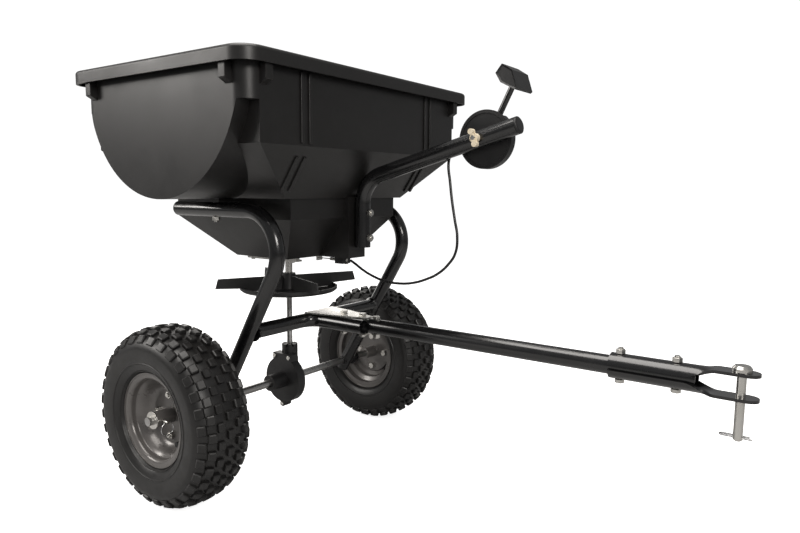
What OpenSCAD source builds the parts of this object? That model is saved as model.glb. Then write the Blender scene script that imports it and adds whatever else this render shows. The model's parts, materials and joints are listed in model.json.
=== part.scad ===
// Tow-behind broadcast spreader: a hopper on a bent-tube frame, two pneumatic wheels on a live
// axle, a bevel drive to a spinner, and a lever on the control arm that opens the gate.
// +X is the towing direction, +Y is the machine's left side, +Z is up.
// Modules are drawn about the middle of the axle; from_axle() carries them to the origin on the
// ground, under the middle of the machine.

/* [Wheels and axle] */
// Distance between the middle planes of the two tyres
track_w = 595; // [575:5:720]
// Outer diameter of the tyres
tyre_d = 330; // [326:2:396]
// Width of the tyres at their widest
tyre_w = 114; // [108:2:138]
// Diameter over the rim flanges
rim_flange_d = 172; // [168:1:176]
// Distance over the two flanges of one rim
rim_w = 87; // [84:1:92]
// Sheet thickness of the rims
rim_t = 2.5; // [2:0.5:3]
// Diameter of the axle
axle_d = 16; // [13:1:19]
// Outer diameter of the wheel hubs
hub_d = 28; // [26:1:34]
// Length of the wheel hubs
hub_len = 80; // [70:2:90]
// Bolt circle of the wheel bolts
rim_bolt_pcd = 76; // [70:1:84]

/* [Frame tubes] */
// Outer diameter of the leg and cross tubes
leg_d = 28; // [25:1:32]
// Wall thickness of all the tubes
tube_t = 2; // [1.5:0.5:3]
// Distance between the middle planes of the legs
leg_gap = 378; // [340:2:440]
// Height of the legs' top runs above the axle
leg_top_z = 369; // [350:1:380]
// How far the top runs reach behind the axle
leg_back = 110; // [80:5:150]
// Forward place of the legs' bend centres
leg_bend_x = 87.7; // [80:0.1:100]
// Bend radius of the legs
leg_bend_r = 75; // [60:1:90]
// Length of leg below the axle
leg_foot = 24; // [22:1:36]
// Height of the cross tubes and drawbar above the axle
draw_z = 143; // [135:1:155]
// Bend radius of the cross tubes
cross_bend_r = 32; // [28:1:45]
// Forward end of the cross tubes
cross_end_x = 222; // [210:1:240]
// Thickness of the splice bar between the cross tubes
tongue_w = 12; // [10:1:14]
// Height of the splice bar
tongue_h = 22; // [18:1:22]

/* [Drawbar and hitch] */
// Outer diameter of the drawbar
drawbar_d = 30; // [28:1:34]
// Forward end of the drawbar tube
drawbar_end_x = 820; // [700:5:1000]
// Thickness of the hitch straps
strap_t = 5; // [4:0.5:6]
// Width of the hitch straps
strap_w = 38; // [36:1:44]
// Width of the ears that hold the hitch pin
ear_w = 30; // [26:1:34]
// How far the ears reach past the drawbar tube
ear_reach = 81; // [70:1:110]
// Diameter of the hitch pin
hitch_pin_d = 12.7; // [9.5:0.1:15.9]
// Length of the hitch pin under its head
hitch_pin_len = 99.5; // [95:0.5:130]

/* [Hopper] */
// Width of the hopper across the rim lip
hopper_w = 666; // [600:2:800]
// Rear edge of the rim lip, behind the axle
hopper_back = 240; // [230:1:260]
// Front edge of the rim lip, ahead of the axle
hopper_front = 249; // [240:1:290]
// Height of the rim above the axle
hopper_top_z = 623; // [600:1:700]
// Height of the rim lip
lip_h = 24; // [18:1:30]
// How far the rim lip stands out from the walls
lip_out = 20; // [14:1:24]
// Wall thickness of the hopper
wall = 4; // [3:0.5:5]
// Radius of the rounded hopper ends
lobe_r = 210; // [190:1:212]
// Height of the hopper floor above the axle
floor_z = 273; // [266:1:280]
// Diameter of each outlet port
port_d = 20; // [16:1:21]

/* [Spinner drive] */
// Diameter of the spinner shaft
shaft_d = 12; // [10:0.5:13]
// Radius of the spinner disc
disc_r = 103; // [90:1:120]
// Radius at the tips of the spinner fins
fin_r = 158; // [130:1:162]
// Height of the spinner disc's underside above the axle
disc_z = 190; // [180:1:200]
// Teeth on the crown gear
crown_teeth = 32; // [32:1:32]
// Teeth on the pinion
pinion_teeth = 8; // [8:1:8]
// Pitch size of one tooth
gear_module = 2.5; // [2.4:0.05:2.6]

/* [Control] */
// Outer diameter of the control arm
arm_d = 30; // [26:1:32]
// Sideways place of the control arm
arm_y = 15; // [10:1:20]
// Slope of the control arm's long run, in degrees
arm_slope = 15.5; // [10:0.5:25]
// Bend radius of the control arm
arm_bend_r = 60; // [50:1:70]
// Forward place of the lever pivot
pivot_x = 450; // [430:1:520]
// Height of the lever pivot above the axle
pivot_z = 497; // [480:1:520]
// Radius of the dial drum
dial_r = 51; // [45:1:60]
// Depth of the dial drum
dial_h = 16; // [15:0.5:22]
// Length of the lever from its pivot to the grip
lever_len = 100; // [85:1:140]
// Forward lean of the shut lever, in degrees
lever_lean = 27; // [15:1:30]
// Swing of the lever from shut to open, in degrees
lever_swing = 70; // [60:1:75]
// Travel of the gate plate
gate_travel = 24; // [22:1:25]
// Diameter of the control cable
cable_d = 5; // [4:0.5:6]

/* [Fits] */
// Radial clearance of the shafts in their bearings
run_c = 0.08; // [0.05:0.01:0.1]
// Gap between sliding plates
slide_c = 0.4; // [0.3:0.1:0.6]
// Diameter of the frame bolts
bolt_d = 8; // [6:1:8]

/* [Hidden] */
$fn = 64;
eps = 0.01;

matte_black = "#26272a";
gloss_black = "#141416";
moulded_black = "#1c1c1e";
zinc = "#c6c3bc";
bright_steel = "#a9a9a9";
rim_grey = "#8c8b8a";
rubber_black = "#1a1a1a";
cream = "#e8dcc8";

leg_r = leg_d / 2;
axle_r = axle_d / 2;
ear_end_x = drawbar_end_x + ear_reach;
axle_x = (hopper_back - ear_end_x) / 2;

// Leg: the lower run leaves the bend at the slope that passes through the axle
leg_centre_z = leg_top_z - leg_bend_r;
leg_reach = sqrt(leg_bend_x * leg_bend_x + leg_centre_z * leg_centre_z);
leg_angle = atan2(leg_bend_x, leg_centre_z) + asin(leg_bend_r / leg_reach);
leg_run = sqrt(leg_reach * leg_reach - leg_bend_r * leg_bend_r);
cross_x = draw_z * tan(leg_angle);
cross_y = tongue_w / 2 + 0.5 + leg_r;
plate_t = 3;
tongue_bolts = [155, 203];
tongue_back_x = 140;
tongue_front_x = cross_end_x + 68;
draw_bolt_x = cross_end_x + 16;
strap_back_x = drawbar_end_x - 124;
strap_bolts = [drawbar_end_x - 110, drawbar_end_x - 28];
draw_r = drawbar_d / 2;
strap_gap = draw_r + 0.2;
pin_x = ear_end_x - 24;
pin_hole_drop = 4.5;
nut_h = 6.5;
nut_af = 13;
head_h = 5.5;

// Hopper
side_y = hopper_w / 2 - lip_out;
back_x = -(hopper_back - lip_out);
front_x = hopper_front - lip_out;
lobe_x = (back_x + front_x) / 2 - 0.5;
column_z = hopper_top_z - 77;
slant_z = hopper_top_z - 143;
band_top_z = floor_z + 118;
band_z = floor_z + 80;
band_x = 163;
band_y = 155;
floor_back_x = -47;
floor_front_x = 97;
floor_y = 100;
column_inset = 28;
foot_x = pivot_x - 258.5;
boss_face_x = foot_x - arm_d / 2 - 0.35;
boss_w = 50;

// Gate
gate_t = 3;
gate_top = floor_z - slide_c;
gate_y = 64;
gate_back_x = -54;
gate_front_x = 76;
port_x = 60;
port_pitch = 34;
bush_flange_d = 24;
guide_h = 7.5;
guide_w = 10;
wire_z = floor_z - 7;
wire_d = 2;
ferrule_d = 6.5;
lower_ferrule_x = [106, 150];

// Lever and dial
dial_y = arm_y + arm_d / 2 + 0.5;
dial_face = 2.5;
lever_t = 4;
lever_y = dial_y + 9.5;
crank_h = 18.5;
crank_wire_y = lever_y - 3;
upper_ferrule_x = [pivot_x - 58, pivot_x - 26];
pivot_d = 8;
grip_w = 62;

// Drive
pinion_pitch_r = gear_module * pinion_teeth / 2;
crown_pitch_r = gear_module * crown_teeth / 2;
tooth_top = 0.9 * gear_module;
tooth_root = 1.12 * gear_module;
crown_face = 4;
crown_y = pinion_pitch_r + tooth_root + 0.2;
crown_t = 6;
crown_hub_d = 26;
crown_hub_end = crown_y + 25;
crown_hub_y = crown_y + 17;
case_wall = 3.5;
case_r = crown_pitch_r + crown_face + case_wall + 2;
case_back_y = 4;
case_split_y = crown_y + 1;
case_front_y = crown_y + crown_t + case_wall + 1.5;
case_boss_end = crown_hub_end + 24;
neck_r = 17;
neck_top_z = case_r + 26;
shaft_low_z = axle_r + 11;
shaft_top_z = floor_z + 67;
hub_top_z = disc_z + 40;
sleeve_d = 15;

// Outer end of the cable's route first, in the axle's frame
cable_points = [
    [pivot_x - 58, 37, 478.5], [385, 37, 478.5], [378, 37, 474], [374, 37, 464], [374, 36, 452],
    [379, 34, 425], [386, 30, 392], [396, 25, 355], [404, 21, 326], [401, 20, 295],
    [388, 19, 275], [366, 19, 256], [340, 18, 243], [312, 17, 234], [280, 16, 230],
    [245, 15, 232], [214, 15, 240], [190, 15, 250], [174, 15, 259], [160, 15, 266],
    [lower_ferrule_x[1], 15, 266]
];

// ---------------------------------------------------------------- helpers

module from_axle() translate([axle_x, 0, tyre_d / 2]) children();

module bar_y(d, y0, y1) translate([0, y0, 0]) rotate([-90, 0, 0]) cylinder(d = d, h = y1 - y0);

module bar_x(d, x0, x1) translate([x0, 0, 0]) rotate([0, 90, 0]) cylinder(d = d, h = x1 - x0);

module bar_z(d, z0, z1) translate([0, 0, z0]) cylinder(d = d, h = z1 - z0);

module box(lo, hi) translate(lo) cube(hi - lo);

// An outline drawn in X and Z, thick along Y from y0 to y1
module slab_xz(y0, y1) translate([0, y1, 0]) rotate([90, 0, 0]) linear_extrude(y1 - y0) children();

// An outline drawn in Y and Z, thick along X from x0 to x1
module slab_yz(x0, x1)
    translate([x0, 0, 0]) rotate([90, 0, 90]) linear_extrude(x1 - x0) children();

module hexagon(af, h) cylinder(d = af / cos(30), h = h, $fn = 6);

// Hexagon-headed bolt along -Z: the head stands on z = 0 and the shank hangs below it
module bolt(d, len) {
    hexagon(nut_af * d / 8, head_h * d / 8);
    translate([0, 0, -len]) cylinder(d = d, h = len + eps);
}

// Nut with its hole, standing on z = 0
module nut(d) difference() {
    hexagon(nut_af * d / 8, nut_h * d / 8);
    translate([0, 0, -1]) cylinder(d = d, h = nut_h + 2);
}

module rounded_rect(x0, x1, y0, y1, r) {
    translate([x0 + r, y0]) square([x1 - x0 - 2 * r, y1 - y0]);
    translate([x0, y0 + r]) square([x1 - x0, y1 - y0 - 2 * r]);
    for (x = [x0 + r, x1 - r], y = [y0 + r, y1 - r]) translate([x, y]) circle(r);
}

// ---------------------------------------------------------------- hopper

// Half outline of a hopper wall seen square on: reach at each height, from the floor up
function wall_line(floor_reach, band, low_slant, high_slant, inset) = [
    [floor_reach - inset, floor_z + inset], [band - inset, band_z],
    [band - inset, band_top_z + inset], [low_slant - inset, band_top_z + inset],
    [high_slant - inset, slant_z],
    [high_slant - inset, column_z + 20]];
function mirrored(p) = [for (i = [len(p) - 1 : -1 : 0]) [-p[i][0], p[i][1]]];

// The hopper's solid form, its faces moved in by inset
module hopper_form(inset) {
    top = hopper_top_z + (inset > 0 ? 1 : 0);
    intersection() {
        slab_xz(-side_y + inset, side_y - inset) {
            translate([lobe_x, hopper_top_z - lip_h]) intersection() {
                circle(lobe_r - inset, $fn = 96);
                translate([-lobe_r, -lobe_r]) square([2 * lobe_r, lobe_r - 30]);
            }
            translate([back_x + inset, column_z + inset])
                square([front_x - back_x - 2 * inset, top - column_z - inset]);
        }
        translate([0, 0, 100]) linear_extrude(top)
            rounded_rect(back_x + inset, front_x - inset, -side_y + inset, side_y - inset, 30);
    }
    intersection() {
        slab_xz(-side_y, side_y) polygon(concat(
            wall_line(floor_front_x, band_x, band_x + 5, front_x, inset),
            mirrored(wall_line(-floor_back_x, band_x, band_x + 5, -back_x, inset))));
        slab_yz(-500, 500) polygon(concat(
            wall_line(floor_y, band_y, band_y + 18, side_y - column_inset, inset),
            mirrored(wall_line(floor_y, band_y, band_y + 18, side_y - column_inset, inset))));
    }
    box([floor_front_x - 40, arm_y - boss_w / 2 + inset, floor_z + inset],
        [boss_face_x - inset, arm_y + boss_w / 2 - inset, band_top_z + 3]);
}

module hopper() color(matte_black) from_axle() difference() {
    union() {
        hopper_form(0);
        translate([0, 0, hopper_top_z - lip_h]) linear_extrude(lip_h)
            rounded_rect(-hopper_back, hopper_front, -hopper_w / 2, hopper_w / 2, 38);
        for (side = [-1, 1])
            box([-28, side * leg_gap / 2 - 16, leg_top_z + leg_r],
                [28, side * leg_gap / 2 + 16, hopper_top_z - lip_h - lobe_r + 10]);
    }
    hopper_form(wall);
    translate([0, 0, hopper_top_z - lip_h - 1]) linear_extrude(lip_h - wall + 1) difference() {
        rounded_rect(-hopper_back + wall, hopper_front - wall, -hopper_w / 2 + wall,
            hopper_w / 2 - wall, 34);
        rounded_rect(back_x - eps, front_x + eps, -side_y - eps, side_y + eps, 30);
    }
    bar_z(shaft_d + 8, floor_z - 1, floor_z + wall + 1);
    for (k = [-1, 0, 1]) translate([port_x, k * port_pitch, 0])
        bar_z(port_d, floor_z - 1, floor_z + wall + 1);
    guide_places() bar_z(4, floor_z - 1, floor_z + wall + 1);
    for (side = [-1, 1]) translate([0, side * leg_gap / 2, 0])
        bar_z(bolt_d, leg_top_z, hopper_top_z - lip_h - lobe_r + 20);
    arm_bolt_places() bar_x(bolt_d, boss_face_x - wall - 1, boss_face_x + 1);
    translate([clamp_screw_x, clamp_screw_y, 0]) bar_z(4, floor_z - 1, floor_z + wall + 1);
}

module shaft_bush() color(moulded_black) from_axle() difference() {
    union() {
        bar_z(shaft_d + 8, floor_z - eps, floor_z + wall + 3);
        bar_z(bush_flange_d, floor_z - 7, floor_z);
    }
    bar_z(shaft_d + 2 * run_c, floor_z - 8, floor_z + wall + 4);
}

// ---------------------------------------------------------------- gate

clamp_screw_x = lower_ferrule_x[1] - 8;
clamp_screw_y = arm_y + 8;
guide_screw_y = gate_y + slide_c + guide_w / 2;

module guide_places() for (x = [floor_back_x + 14, floor_front_x - 16], side = [-1, 1])
    translate([x, side * guide_screw_y, 0]) children();

module gate_guides() color(zinc) from_axle() difference() {
    for (side = [0, 1]) mirror([0, side, 0]) slab_yz(floor_back_x + 2, floor_front_x - 2) {
        translate([gate_y + slide_c, floor_z - guide_h]) square([guide_w, guide_h]);
        translate([gate_y - 6, floor_z - guide_h])
            square([guide_w, guide_h - gate_t - 2 * slide_c]);
    }
    guide_places() bar_z(4, floor_z - 10, floor_z + 1);
}

module gate_screws() color(zinc) from_axle() {
    guide_places() {
        bar_z(8, floor_z - guide_h - 2.5, floor_z - guide_h);
        bar_z(4, floor_z - guide_h - eps, floor_z + wall);
    }
    translate([clamp_screw_x, clamp_screw_y, 0]) {
        bar_z(7, floor_z - 16.5, floor_z - 14);
        bar_z(4, floor_z - 14 - eps, floor_z + wall);
    }
}

module shutter_plate() color(zinc) from_axle() difference() {
    union() {
        box([gate_back_x, -gate_y, gate_top - gate_t], [gate_front_x, gate_y, gate_top]);
        box([gate_front_x - gate_t, arm_y - 8, wire_z - 5],
            [gate_front_x, arm_y + 8, gate_top - eps]);
    }
    hull() for (x = [0, -gate_travel]) translate([x, 0, gate_top - gate_t - 1])
        cylinder(d = bush_flange_d + 2, h = gate_t + 2, $fn = 32);
    for (k = [-1, 0, 1]) translate([port_x - gate_travel, k * port_pitch, 0])
        bar_z(port_d, gate_top - gate_t - 1, gate_top + 1);
    translate([0, arm_y, wire_z]) bar_x(wire_d, gate_front_x - gate_t - 1, gate_front_x + 1);
}

module gate_wire() color(bright_steel) from_axle() translate([0, arm_y, wire_z]) {
    bar_x(wire_d, gate_front_x - gate_t, lower_ferrule_x[0] + 6);
    bar_x(5, gate_front_x - gate_t - 3, gate_front_x - gate_t);
}

module cable_clamp() color(moulded_black) from_axle() difference() {
    box([lower_ferrule_x[1] - 22, arm_y - 12, floor_z - 14],
        [lower_ferrule_x[1] - 1, arm_y + 12, floor_z]);
    translate([0, arm_y, wire_z]) bar_x(ferrule_d, 0, 200);
    translate([clamp_screw_x, clamp_screw_y, 0]) bar_z(4, floor_z - 20, floor_z + 1);
}

module ferrule(x) difference() {
    bar_x(ferrule_d, x[0], x[1]);
    bar_x(wire_d + 0.4, x[0] + (x[0] < 200 ? -1 : 2), x[1] + (x[0] < 200 ? -2 : 1));
}

module cable_ferrules() color(zinc) from_axle() {
    translate([0, arm_y, wire_z]) ferrule(lower_ferrule_x);
    translate([0, crank_wire_y, pivot_z - crank_h]) ferrule(upper_ferrule_x);
}

// A round cord swept along points: one ring of sides corners square to the route at each point
function unit(v) = v / norm(v);
function route_dir(p, i) =
    unit(p[min(i + 1, len(p) - 1)] - p[max(i - 1, 0)]);
function ring_side(d) = unit(cross(d, [0, 1, 0.02]));
module cord(points, d, sides) {
    n = len(points);
    rings = [for (i = [0 : n - 1])
        let (t = route_dir(points, i), u = ring_side(t), v = cross(t, u))
        for (k = [0 : sides - 1])
            points[i] + d / 2 * (cos(360 * k / sides) * u + sin(360 * k / sides) * v)];
    walls = [for (i = [0 : n - 2], k = [0 : sides - 1])
        [i * sides + k, i * sides + (k + 1) % sides,
         (i + 1) * sides + (k + 1) % sides, (i + 1) * sides + k]];
    first = [for (k = [0 : sides - 1]) sides - 1 - k];
    last = [for (k = [0 : sides - 1]) (n - 1) * sides + k];
    polyhedron(rings, concat(walls, [first, last]), convexity = 6);
}

module control_cable() color(gloss_black) from_axle() cord(cable_points, cable_d, 10);

// ---------------------------------------------------------------- frame

// Cross-section of a tube, and the drilled disc inside a weld between two lengths of it
module ring(d) difference() {
    circle(d = d);
    circle(d = d - 2 * tube_t);
}
weld_h = 3;
cope_c = 0.1;
module weld(d) translate([0, 0, -weld_h / 2]) linear_extrude(weld_h) difference() {
    circle(d = d + 0.6);
    circle(d = d / 2);
}

// A tube with one bend of radius r about the origin, turning from angle 0 to turn in the XY
// plane. A straight run leads into the bend and another leaves it, each welded on.
module bent_tube(d, r, turn, lead, tail) {
    rotate([0, 0, 0.3]) rotate_extrude(angle = turn - 0.6) translate([r, 0]) ring(d);
    translate([r, 0, 0]) rotate([90, 0, 0]) {
        linear_extrude(lead) ring(d);
        weld(d);
    }
    rotate([0, 0, turn]) translate([r, 0, 0]) rotate([-90, 0, 0]) {
        linear_extrude(tail) ring(d);
        weld(d);
    }
}

// Leg: the long run down through the axle, the bend and the top run
module frame_leg(side) from_axle() translate([0, side * leg_gap / 2, 0]) difference() {
    translate([leg_bend_x, 0, leg_centre_z]) rotate([90, 0, 0]) rotate([0, 0, -leg_angle])
        bent_tube(leg_d, leg_bend_r, 90 + leg_angle, leg_run + leg_foot, leg_bend_x + leg_back);
    bar_y(axle_d + 5, -leg_d, leg_d);
    bar_z(bolt_d, leg_top_z - leg_d, leg_top_z + leg_d);
}

module frame_leg_right() color(gloss_black) frame_leg(-1);
module frame_leg_left() color(gloss_black) frame_leg(1);

// Plastic plug for an open tube end, its chamfered cap pointing along +X from x = 0
module tube_plug(d) rotate([0, 90, 0]) {
    translate([0, 0, -14]) cylinder(d = d - 2 * tube_t, h = 17);
    cylinder(d = d, h = 3);
    translate([0, 0, 3]) cylinder(d1 = d, d2 = d - 6, h = 2);
}

module tube_plugs() color(moulded_black) from_axle() {
    for (side = [-1, 1]) translate([-leg_back, side * leg_gap / 2, leg_top_z])
        rotate([0, 180, 0]) tube_plug(leg_d);
    arm_end() tube_plug(arm_d);
}

// Cross tube: from the leg inwards, then forward to the drawbar, its outer end coped to the leg
module cross_tube(side) from_axle() translate([0, 0, draw_z]) mirror([0, side, 0]) difference() {
    bend_y = cross_y + cross_bend_r;
    bend_x = cross_x + cross_bend_r;
    translate([bend_x, bend_y, 0]) rotate([0, 0, 180])
        bent_tube(leg_d, cross_bend_r, 90, leg_gap / 2 - bend_y, cross_end_x - bend_x);
    translate([0, leg_gap / 2, -draw_z]) rotate([0, leg_angle, 0])
        cylinder(d = leg_d + 2 * cope_c, h = leg_run);
}

module cross_tube_right() color(gloss_black) cross_tube(1);
module cross_tube_left() color(gloss_black) cross_tube(0);

module hitch_plates() color(zinc) from_axle() difference() {
    union() {
        translate([0, 0, draw_z + leg_r]) linear_extrude(plate_t) polygon([
            [cross_x, -42], [cross_x, 42], [tongue_back_x, 33], [cross_end_x, 8],
            [cross_end_x, -8], [tongue_back_x, -33]]);
        translate([0, 0, draw_z - leg_r - plate_t]) linear_extrude(plate_t)
            translate([tongue_back_x, -16]) square([cross_end_x - tongue_back_x, 32]);
    }
    for (x = tongue_bolts) translate([x, 0, 0]) bar_z(bolt_d, 0, 400);
}

module drawbar_tongue() color(zinc) from_axle() difference() {
    box([tongue_back_x, -tongue_w / 2, draw_z - tongue_h / 2],
        [tongue_front_x, tongue_w / 2, draw_z + tongue_h / 2]);
    for (x = concat(tongue_bolts, [draw_bolt_x])) translate([x, 0, 0]) bar_z(bolt_d, 0, 400);
}

module axle_bushes() color(moulded_black) from_axle()
    for (side = [0, 1]) mirror([0, side, 0]) translate([0, leg_gap / 2, 0]) difference() {
        union() {
            bar_y(axle_d + 5, -leg_r - 1, leg_r + eps);
            bar_y(axle_d + 12, leg_r, leg_r + 3);
        }
        bar_y(axle_d + 2 * run_c, -leg_d, leg_d);
    }

module arm_bolt_places() for (z = [floor_z + 41, floor_z + 90])
    translate([0, arm_y, z]) children();

bolt_top_z = draw_z + strap_gap + strap_t;
bolt_low_z = draw_z - strap_gap - strap_t;
saddle_z = hopper_top_z - lip_h - lobe_r + wall;

module frame_bolts() color(zinc) from_axle() {
    for (side = [-1, 1]) translate([0, side * leg_gap / 2, saddle_z + 1.2])
        bolt(bolt_d, saddle_z + 1.2 - leg_top_z + leg_r + nut_h + 3);
    for (x = tongue_bolts) translate([x, 0, draw_z + leg_r + plate_t])
        bolt(bolt_d, 2 * leg_r + 2 * plate_t + nut_h + 2);
    translate([draw_bolt_x, 0, draw_z + draw_r]) bolt(bolt_d, 2 * draw_r + nut_h + 2);
    for (x = strap_bolts) translate([x, 0, bolt_low_z]) mirror([0, 0, 1])
        bolt(bolt_d, bolt_top_z - bolt_low_z + nut_h + 3);
    arm_bolt_places() translate([boss_face_x - wall, 0, 0]) rotate([0, -90, 0])
        bolt(bolt_d, arm_d + wall + nut_h + 3);
}

module frame_nuts() color(zinc) from_axle() {
    for (side = [-1, 1]) translate([0, side * leg_gap / 2, leg_top_z - leg_r]) mirror([0, 0, 1])
        nut(bolt_d);
    for (x = tongue_bolts) translate([x, 0, draw_z - leg_r - plate_t]) mirror([0, 0, 1])
        nut(bolt_d);
    translate([draw_bolt_x, 0, draw_z - draw_r]) mirror([0, 0, 1]) nut(bolt_d);
    for (x = strap_bolts) translate([x, 0, bolt_top_z]) nut(bolt_d);
    arm_bolt_places() translate([foot_x + arm_d / 2, 0, 0]) rotate([0, 90, 0]) nut(bolt_d);
}

// ---------------------------------------------------------------- drawbar and hitch

module drawbar() color(gloss_black) from_axle() translate([0, 0, draw_z]) difference() {
    bar_x(drawbar_d, cross_end_x + 2, drawbar_end_x);
    bar_x(drawbar_d - 2 * tube_t, cross_end_x + 1, drawbar_end_x + 1);
    for (x = concat([draw_bolt_x], strap_bolts)) translate([x, 0, 0]) bar_z(bolt_d, -40, 40);
}

// One strap: a flat plate with turned-down sides over the tube and a round-ended ear
module hitch_strap() difference() {
    union() {
        translate([0, 0, strap_gap]) linear_extrude(strap_t) {
            translate([strap_back_x, -strap_w / 2])
                square([drawbar_end_x + 8 - strap_back_x, strap_w]);
            polygon([[drawbar_end_x + 8 - eps, -strap_w / 2], [drawbar_end_x + 8 - eps, strap_w / 2],
                [drawbar_end_x + 24, ear_w / 2], [drawbar_end_x + 24, -ear_w / 2]]);
            translate([drawbar_end_x + 24 - eps, -ear_w / 2])
                square([ear_reach - 24 - ear_w / 2 + eps, ear_w]);
            translate([ear_end_x - ear_w / 2, 0]) circle(d = ear_w);
        }
        for (side = [0, 1]) mirror([0, side, 0])
            box([strap_back_x, draw_r + 0.3, strap_gap - 8],
                [drawbar_end_x + 2, strap_w / 2, strap_gap + eps]);
    }
    translate([pin_x, 0, 0]) bar_z(hitch_pin_d + 0.6, 0, 40);
    for (x = strap_bolts) translate([x, 0, 0]) bar_z(bolt_d, 0, 40);
}

module hitch_strap_upper() color(gloss_black) from_axle() translate([0, 0, draw_z]) hitch_strap();
module hitch_strap_lower() color(gloss_black) from_axle() translate([0, 0, draw_z])
    mirror([0, 0, 1]) hitch_strap();

pin_top_z = draw_z + strap_gap + strap_t + 0.1;
clip_z = pin_top_z - hitch_pin_len + pin_hole_drop;
clip_d = 2.6;
clip_back = 20;
clip_gap = hitch_pin_d / 2 + clip_d / 2 + 0.6;

module hitch_pin() color(zinc) from_axle() translate([pin_x, 0, 0]) difference() {
    union() {
        bar_z(hitch_pin_d, pin_top_z - hitch_pin_len + 2, pin_top_z + eps);
        translate([0, 0, pin_top_z - hitch_pin_len])
            cylinder(d1 = hitch_pin_d - 4, d2 = hitch_pin_d, h = 2 + eps);
        bar_z(26, pin_top_z, pin_top_z + 5);
        translate([0, 0, pin_top_z + 5]) cylinder(d1 = 26, d2 = 20, h = 3.5);
    }
    translate([0, 0, clip_z]) bar_x(clip_d + 0.2, -20, 20);
}

module hitch_clip() color(bright_steel) from_axle() translate([pin_x, 0, clip_z]) {
    bar_x(clip_d, -clip_back, 18);
    translate([-clip_back, clip_gap / 2, 0]) rotate([0, 0, 90]) rotate_extrude(angle = 180)
        translate([clip_gap / 2, 0]) circle(d = clip_d);
    translate([0, clip_gap, 0]) bar_x(clip_d, -clip_back, 14);
}

// ---------------------------------------------------------------- control arm

arm_run_back = arm_bend_r * sin(arm_slope);
arm_bend_top = [foot_x + arm_bend_r - arm_run_back,
    pivot_z - (pivot_x - foot_x - arm_bend_r + arm_run_back) * tan(arm_slope)];
arm_centre_z = arm_bend_top[1] - arm_bend_r * cos(arm_slope);
arm_foot_z = floor_z + 22;
arm_past_pivot = 72;
arm_run = (pivot_x - arm_bend_top[0]) / cos(arm_slope) + arm_past_pivot;

module arm_end() translate([arm_bend_top[0], arm_y, arm_bend_top[1]]) rotate([0, -arm_slope, 0])
    translate([arm_run, 0, 0]) children();

module control_arm() color(gloss_black) from_axle() difference() {
    translate([foot_x + arm_bend_r, arm_y, arm_centre_z]) rotate([90, 0, 0])
        rotate([0, 0, 90 + arm_slope])
            bent_tube(arm_d, arm_bend_r, 90 - arm_slope, arm_run, arm_centre_z - arm_foot_z);
    arm_bolt_places() bar_x(bolt_d, 0, 300);
    translate([pivot_x, 0, pivot_z]) bar_y(pivot_d, -50, 100);
}

module at_pivot() from_axle() translate([pivot_x, 0, pivot_z]) children();

// The dial's rim is cut open at the top for the lever and at the back for the cable
module dial() color(moulded_black) at_pivot() difference() {
    union() {
        bar_y(2 * dial_r, dial_y, dial_y + dial_face, $fn = 96);
        difference() {
            bar_y(2 * dial_r, dial_y + eps, dial_y + dial_h, $fn = 96);
            bar_y(2 * (dial_r - 3), dial_y, dial_y + dial_h + 1, $fn = 96);
        }
        bar_y(22, dial_y + eps, lever_y - 0.3);
    }
    bar_y(pivot_d, dial_y - 1, lever_y);
    slab_xz(dial_y + 6, dial_y + dial_h + 1) polygon([[0, 0],
        for (a = [90 - lever_lean - 12 : 10 : 90 - lever_lean + lever_swing + 18])
            80 * [cos(a), sin(a)]]);
    translate([-dial_r, crank_wire_y, -crank_h]) bar_x(ferrule_d, -10, 20);
}

module pivot_bolt() color(zinc) at_pivot() {
    bar_y(pivot_d, arm_y - arm_d / 2 - 13, lever_y + lever_t + 1);
    translate([0, lever_y + lever_t + 0.4, 0]) rotate([-90, 0, 0]) hexagon(13, 5.5);
}

// Wing nut: a waisted hub with two rounded wings
module wing_nut() color(cream) at_pivot() translate([0, arm_y - arm_d / 2 - 0.4, 0]) difference() {
    union() {
        bar_y(16, -9, 0);
        rotate([0, 70, 0]) for (side = [-1, 1]) translate([side * 11, 0, 0]) {
            bar_y(10, -14, -5);
            box([side > 0 ? -9 : 0, -13, -3], [side > 0 ? 0 : 9, -2, 3]);
        }
    }
    bar_y(pivot_d + 2 * run_c, -20, 1);
}

crank_angle = 90 - lever_swing / 2;

// Lever plate, cut from one sheet: hub, stem and the slotted crank that drives the wire
module lever() color(gloss_black) at_pivot() slab_xz(lever_y, lever_y + lever_t) difference() {
    union() {
        circle(d = 24);
        rotate(90 - lever_lean) translate([0, -6]) square([lever_len + 14, 12]);
        rotate(180 + crank_angle) translate([0, -7]) square([crank_h + 12, 14]);
    }
    circle(d = pivot_d + 2 * run_c);
    rotate(180 + crank_angle) translate([crank_h - 2.4, -2.6]) square([9, 5.2]);
}

// Flared T-grip: a hollow wedge across the top of the lever
module lever_grip() color(moulded_black) at_pivot() rotate([0, lever_lean, 0])
    translate([0, lever_y + lever_t / 2, lever_len]) difference() {
        slab_xz(-grip_w / 2, grip_w / 2)
            polygon([[-24, 8], [-20, 26], [2, 24], [24, 2], [22, -2], [-8, -2]]);
        slab_xz(-grip_w / 2 + 3, grip_w / 2 - 3)
            polygon([[-30, 10.5], [-24, 22.5], [0.5, 21], [18, 3.5], [-6.5, 1]]);
        box([-6, -lever_t / 2, -5], [6, lever_t / 2, 14]);
    }

module lever_wire() color(bright_steel) at_pivot() translate([0, 0, -crank_h]) {
    translate([0, crank_wire_y, 0])
        bar_x(wire_d, -26 - 29, -gate_travel / 2 + wire_d / 2);
    translate([-gate_travel / 2, 0, 0]) bar_y(wire_d, crank_wire_y, lever_y + lever_t + 2);
}

// ---------------------------------------------------------------- axle and wheels

pin_y = hub_len / 2 - 8;
axle_half = track_w / 2 + hub_len / 2 + 12;

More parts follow.
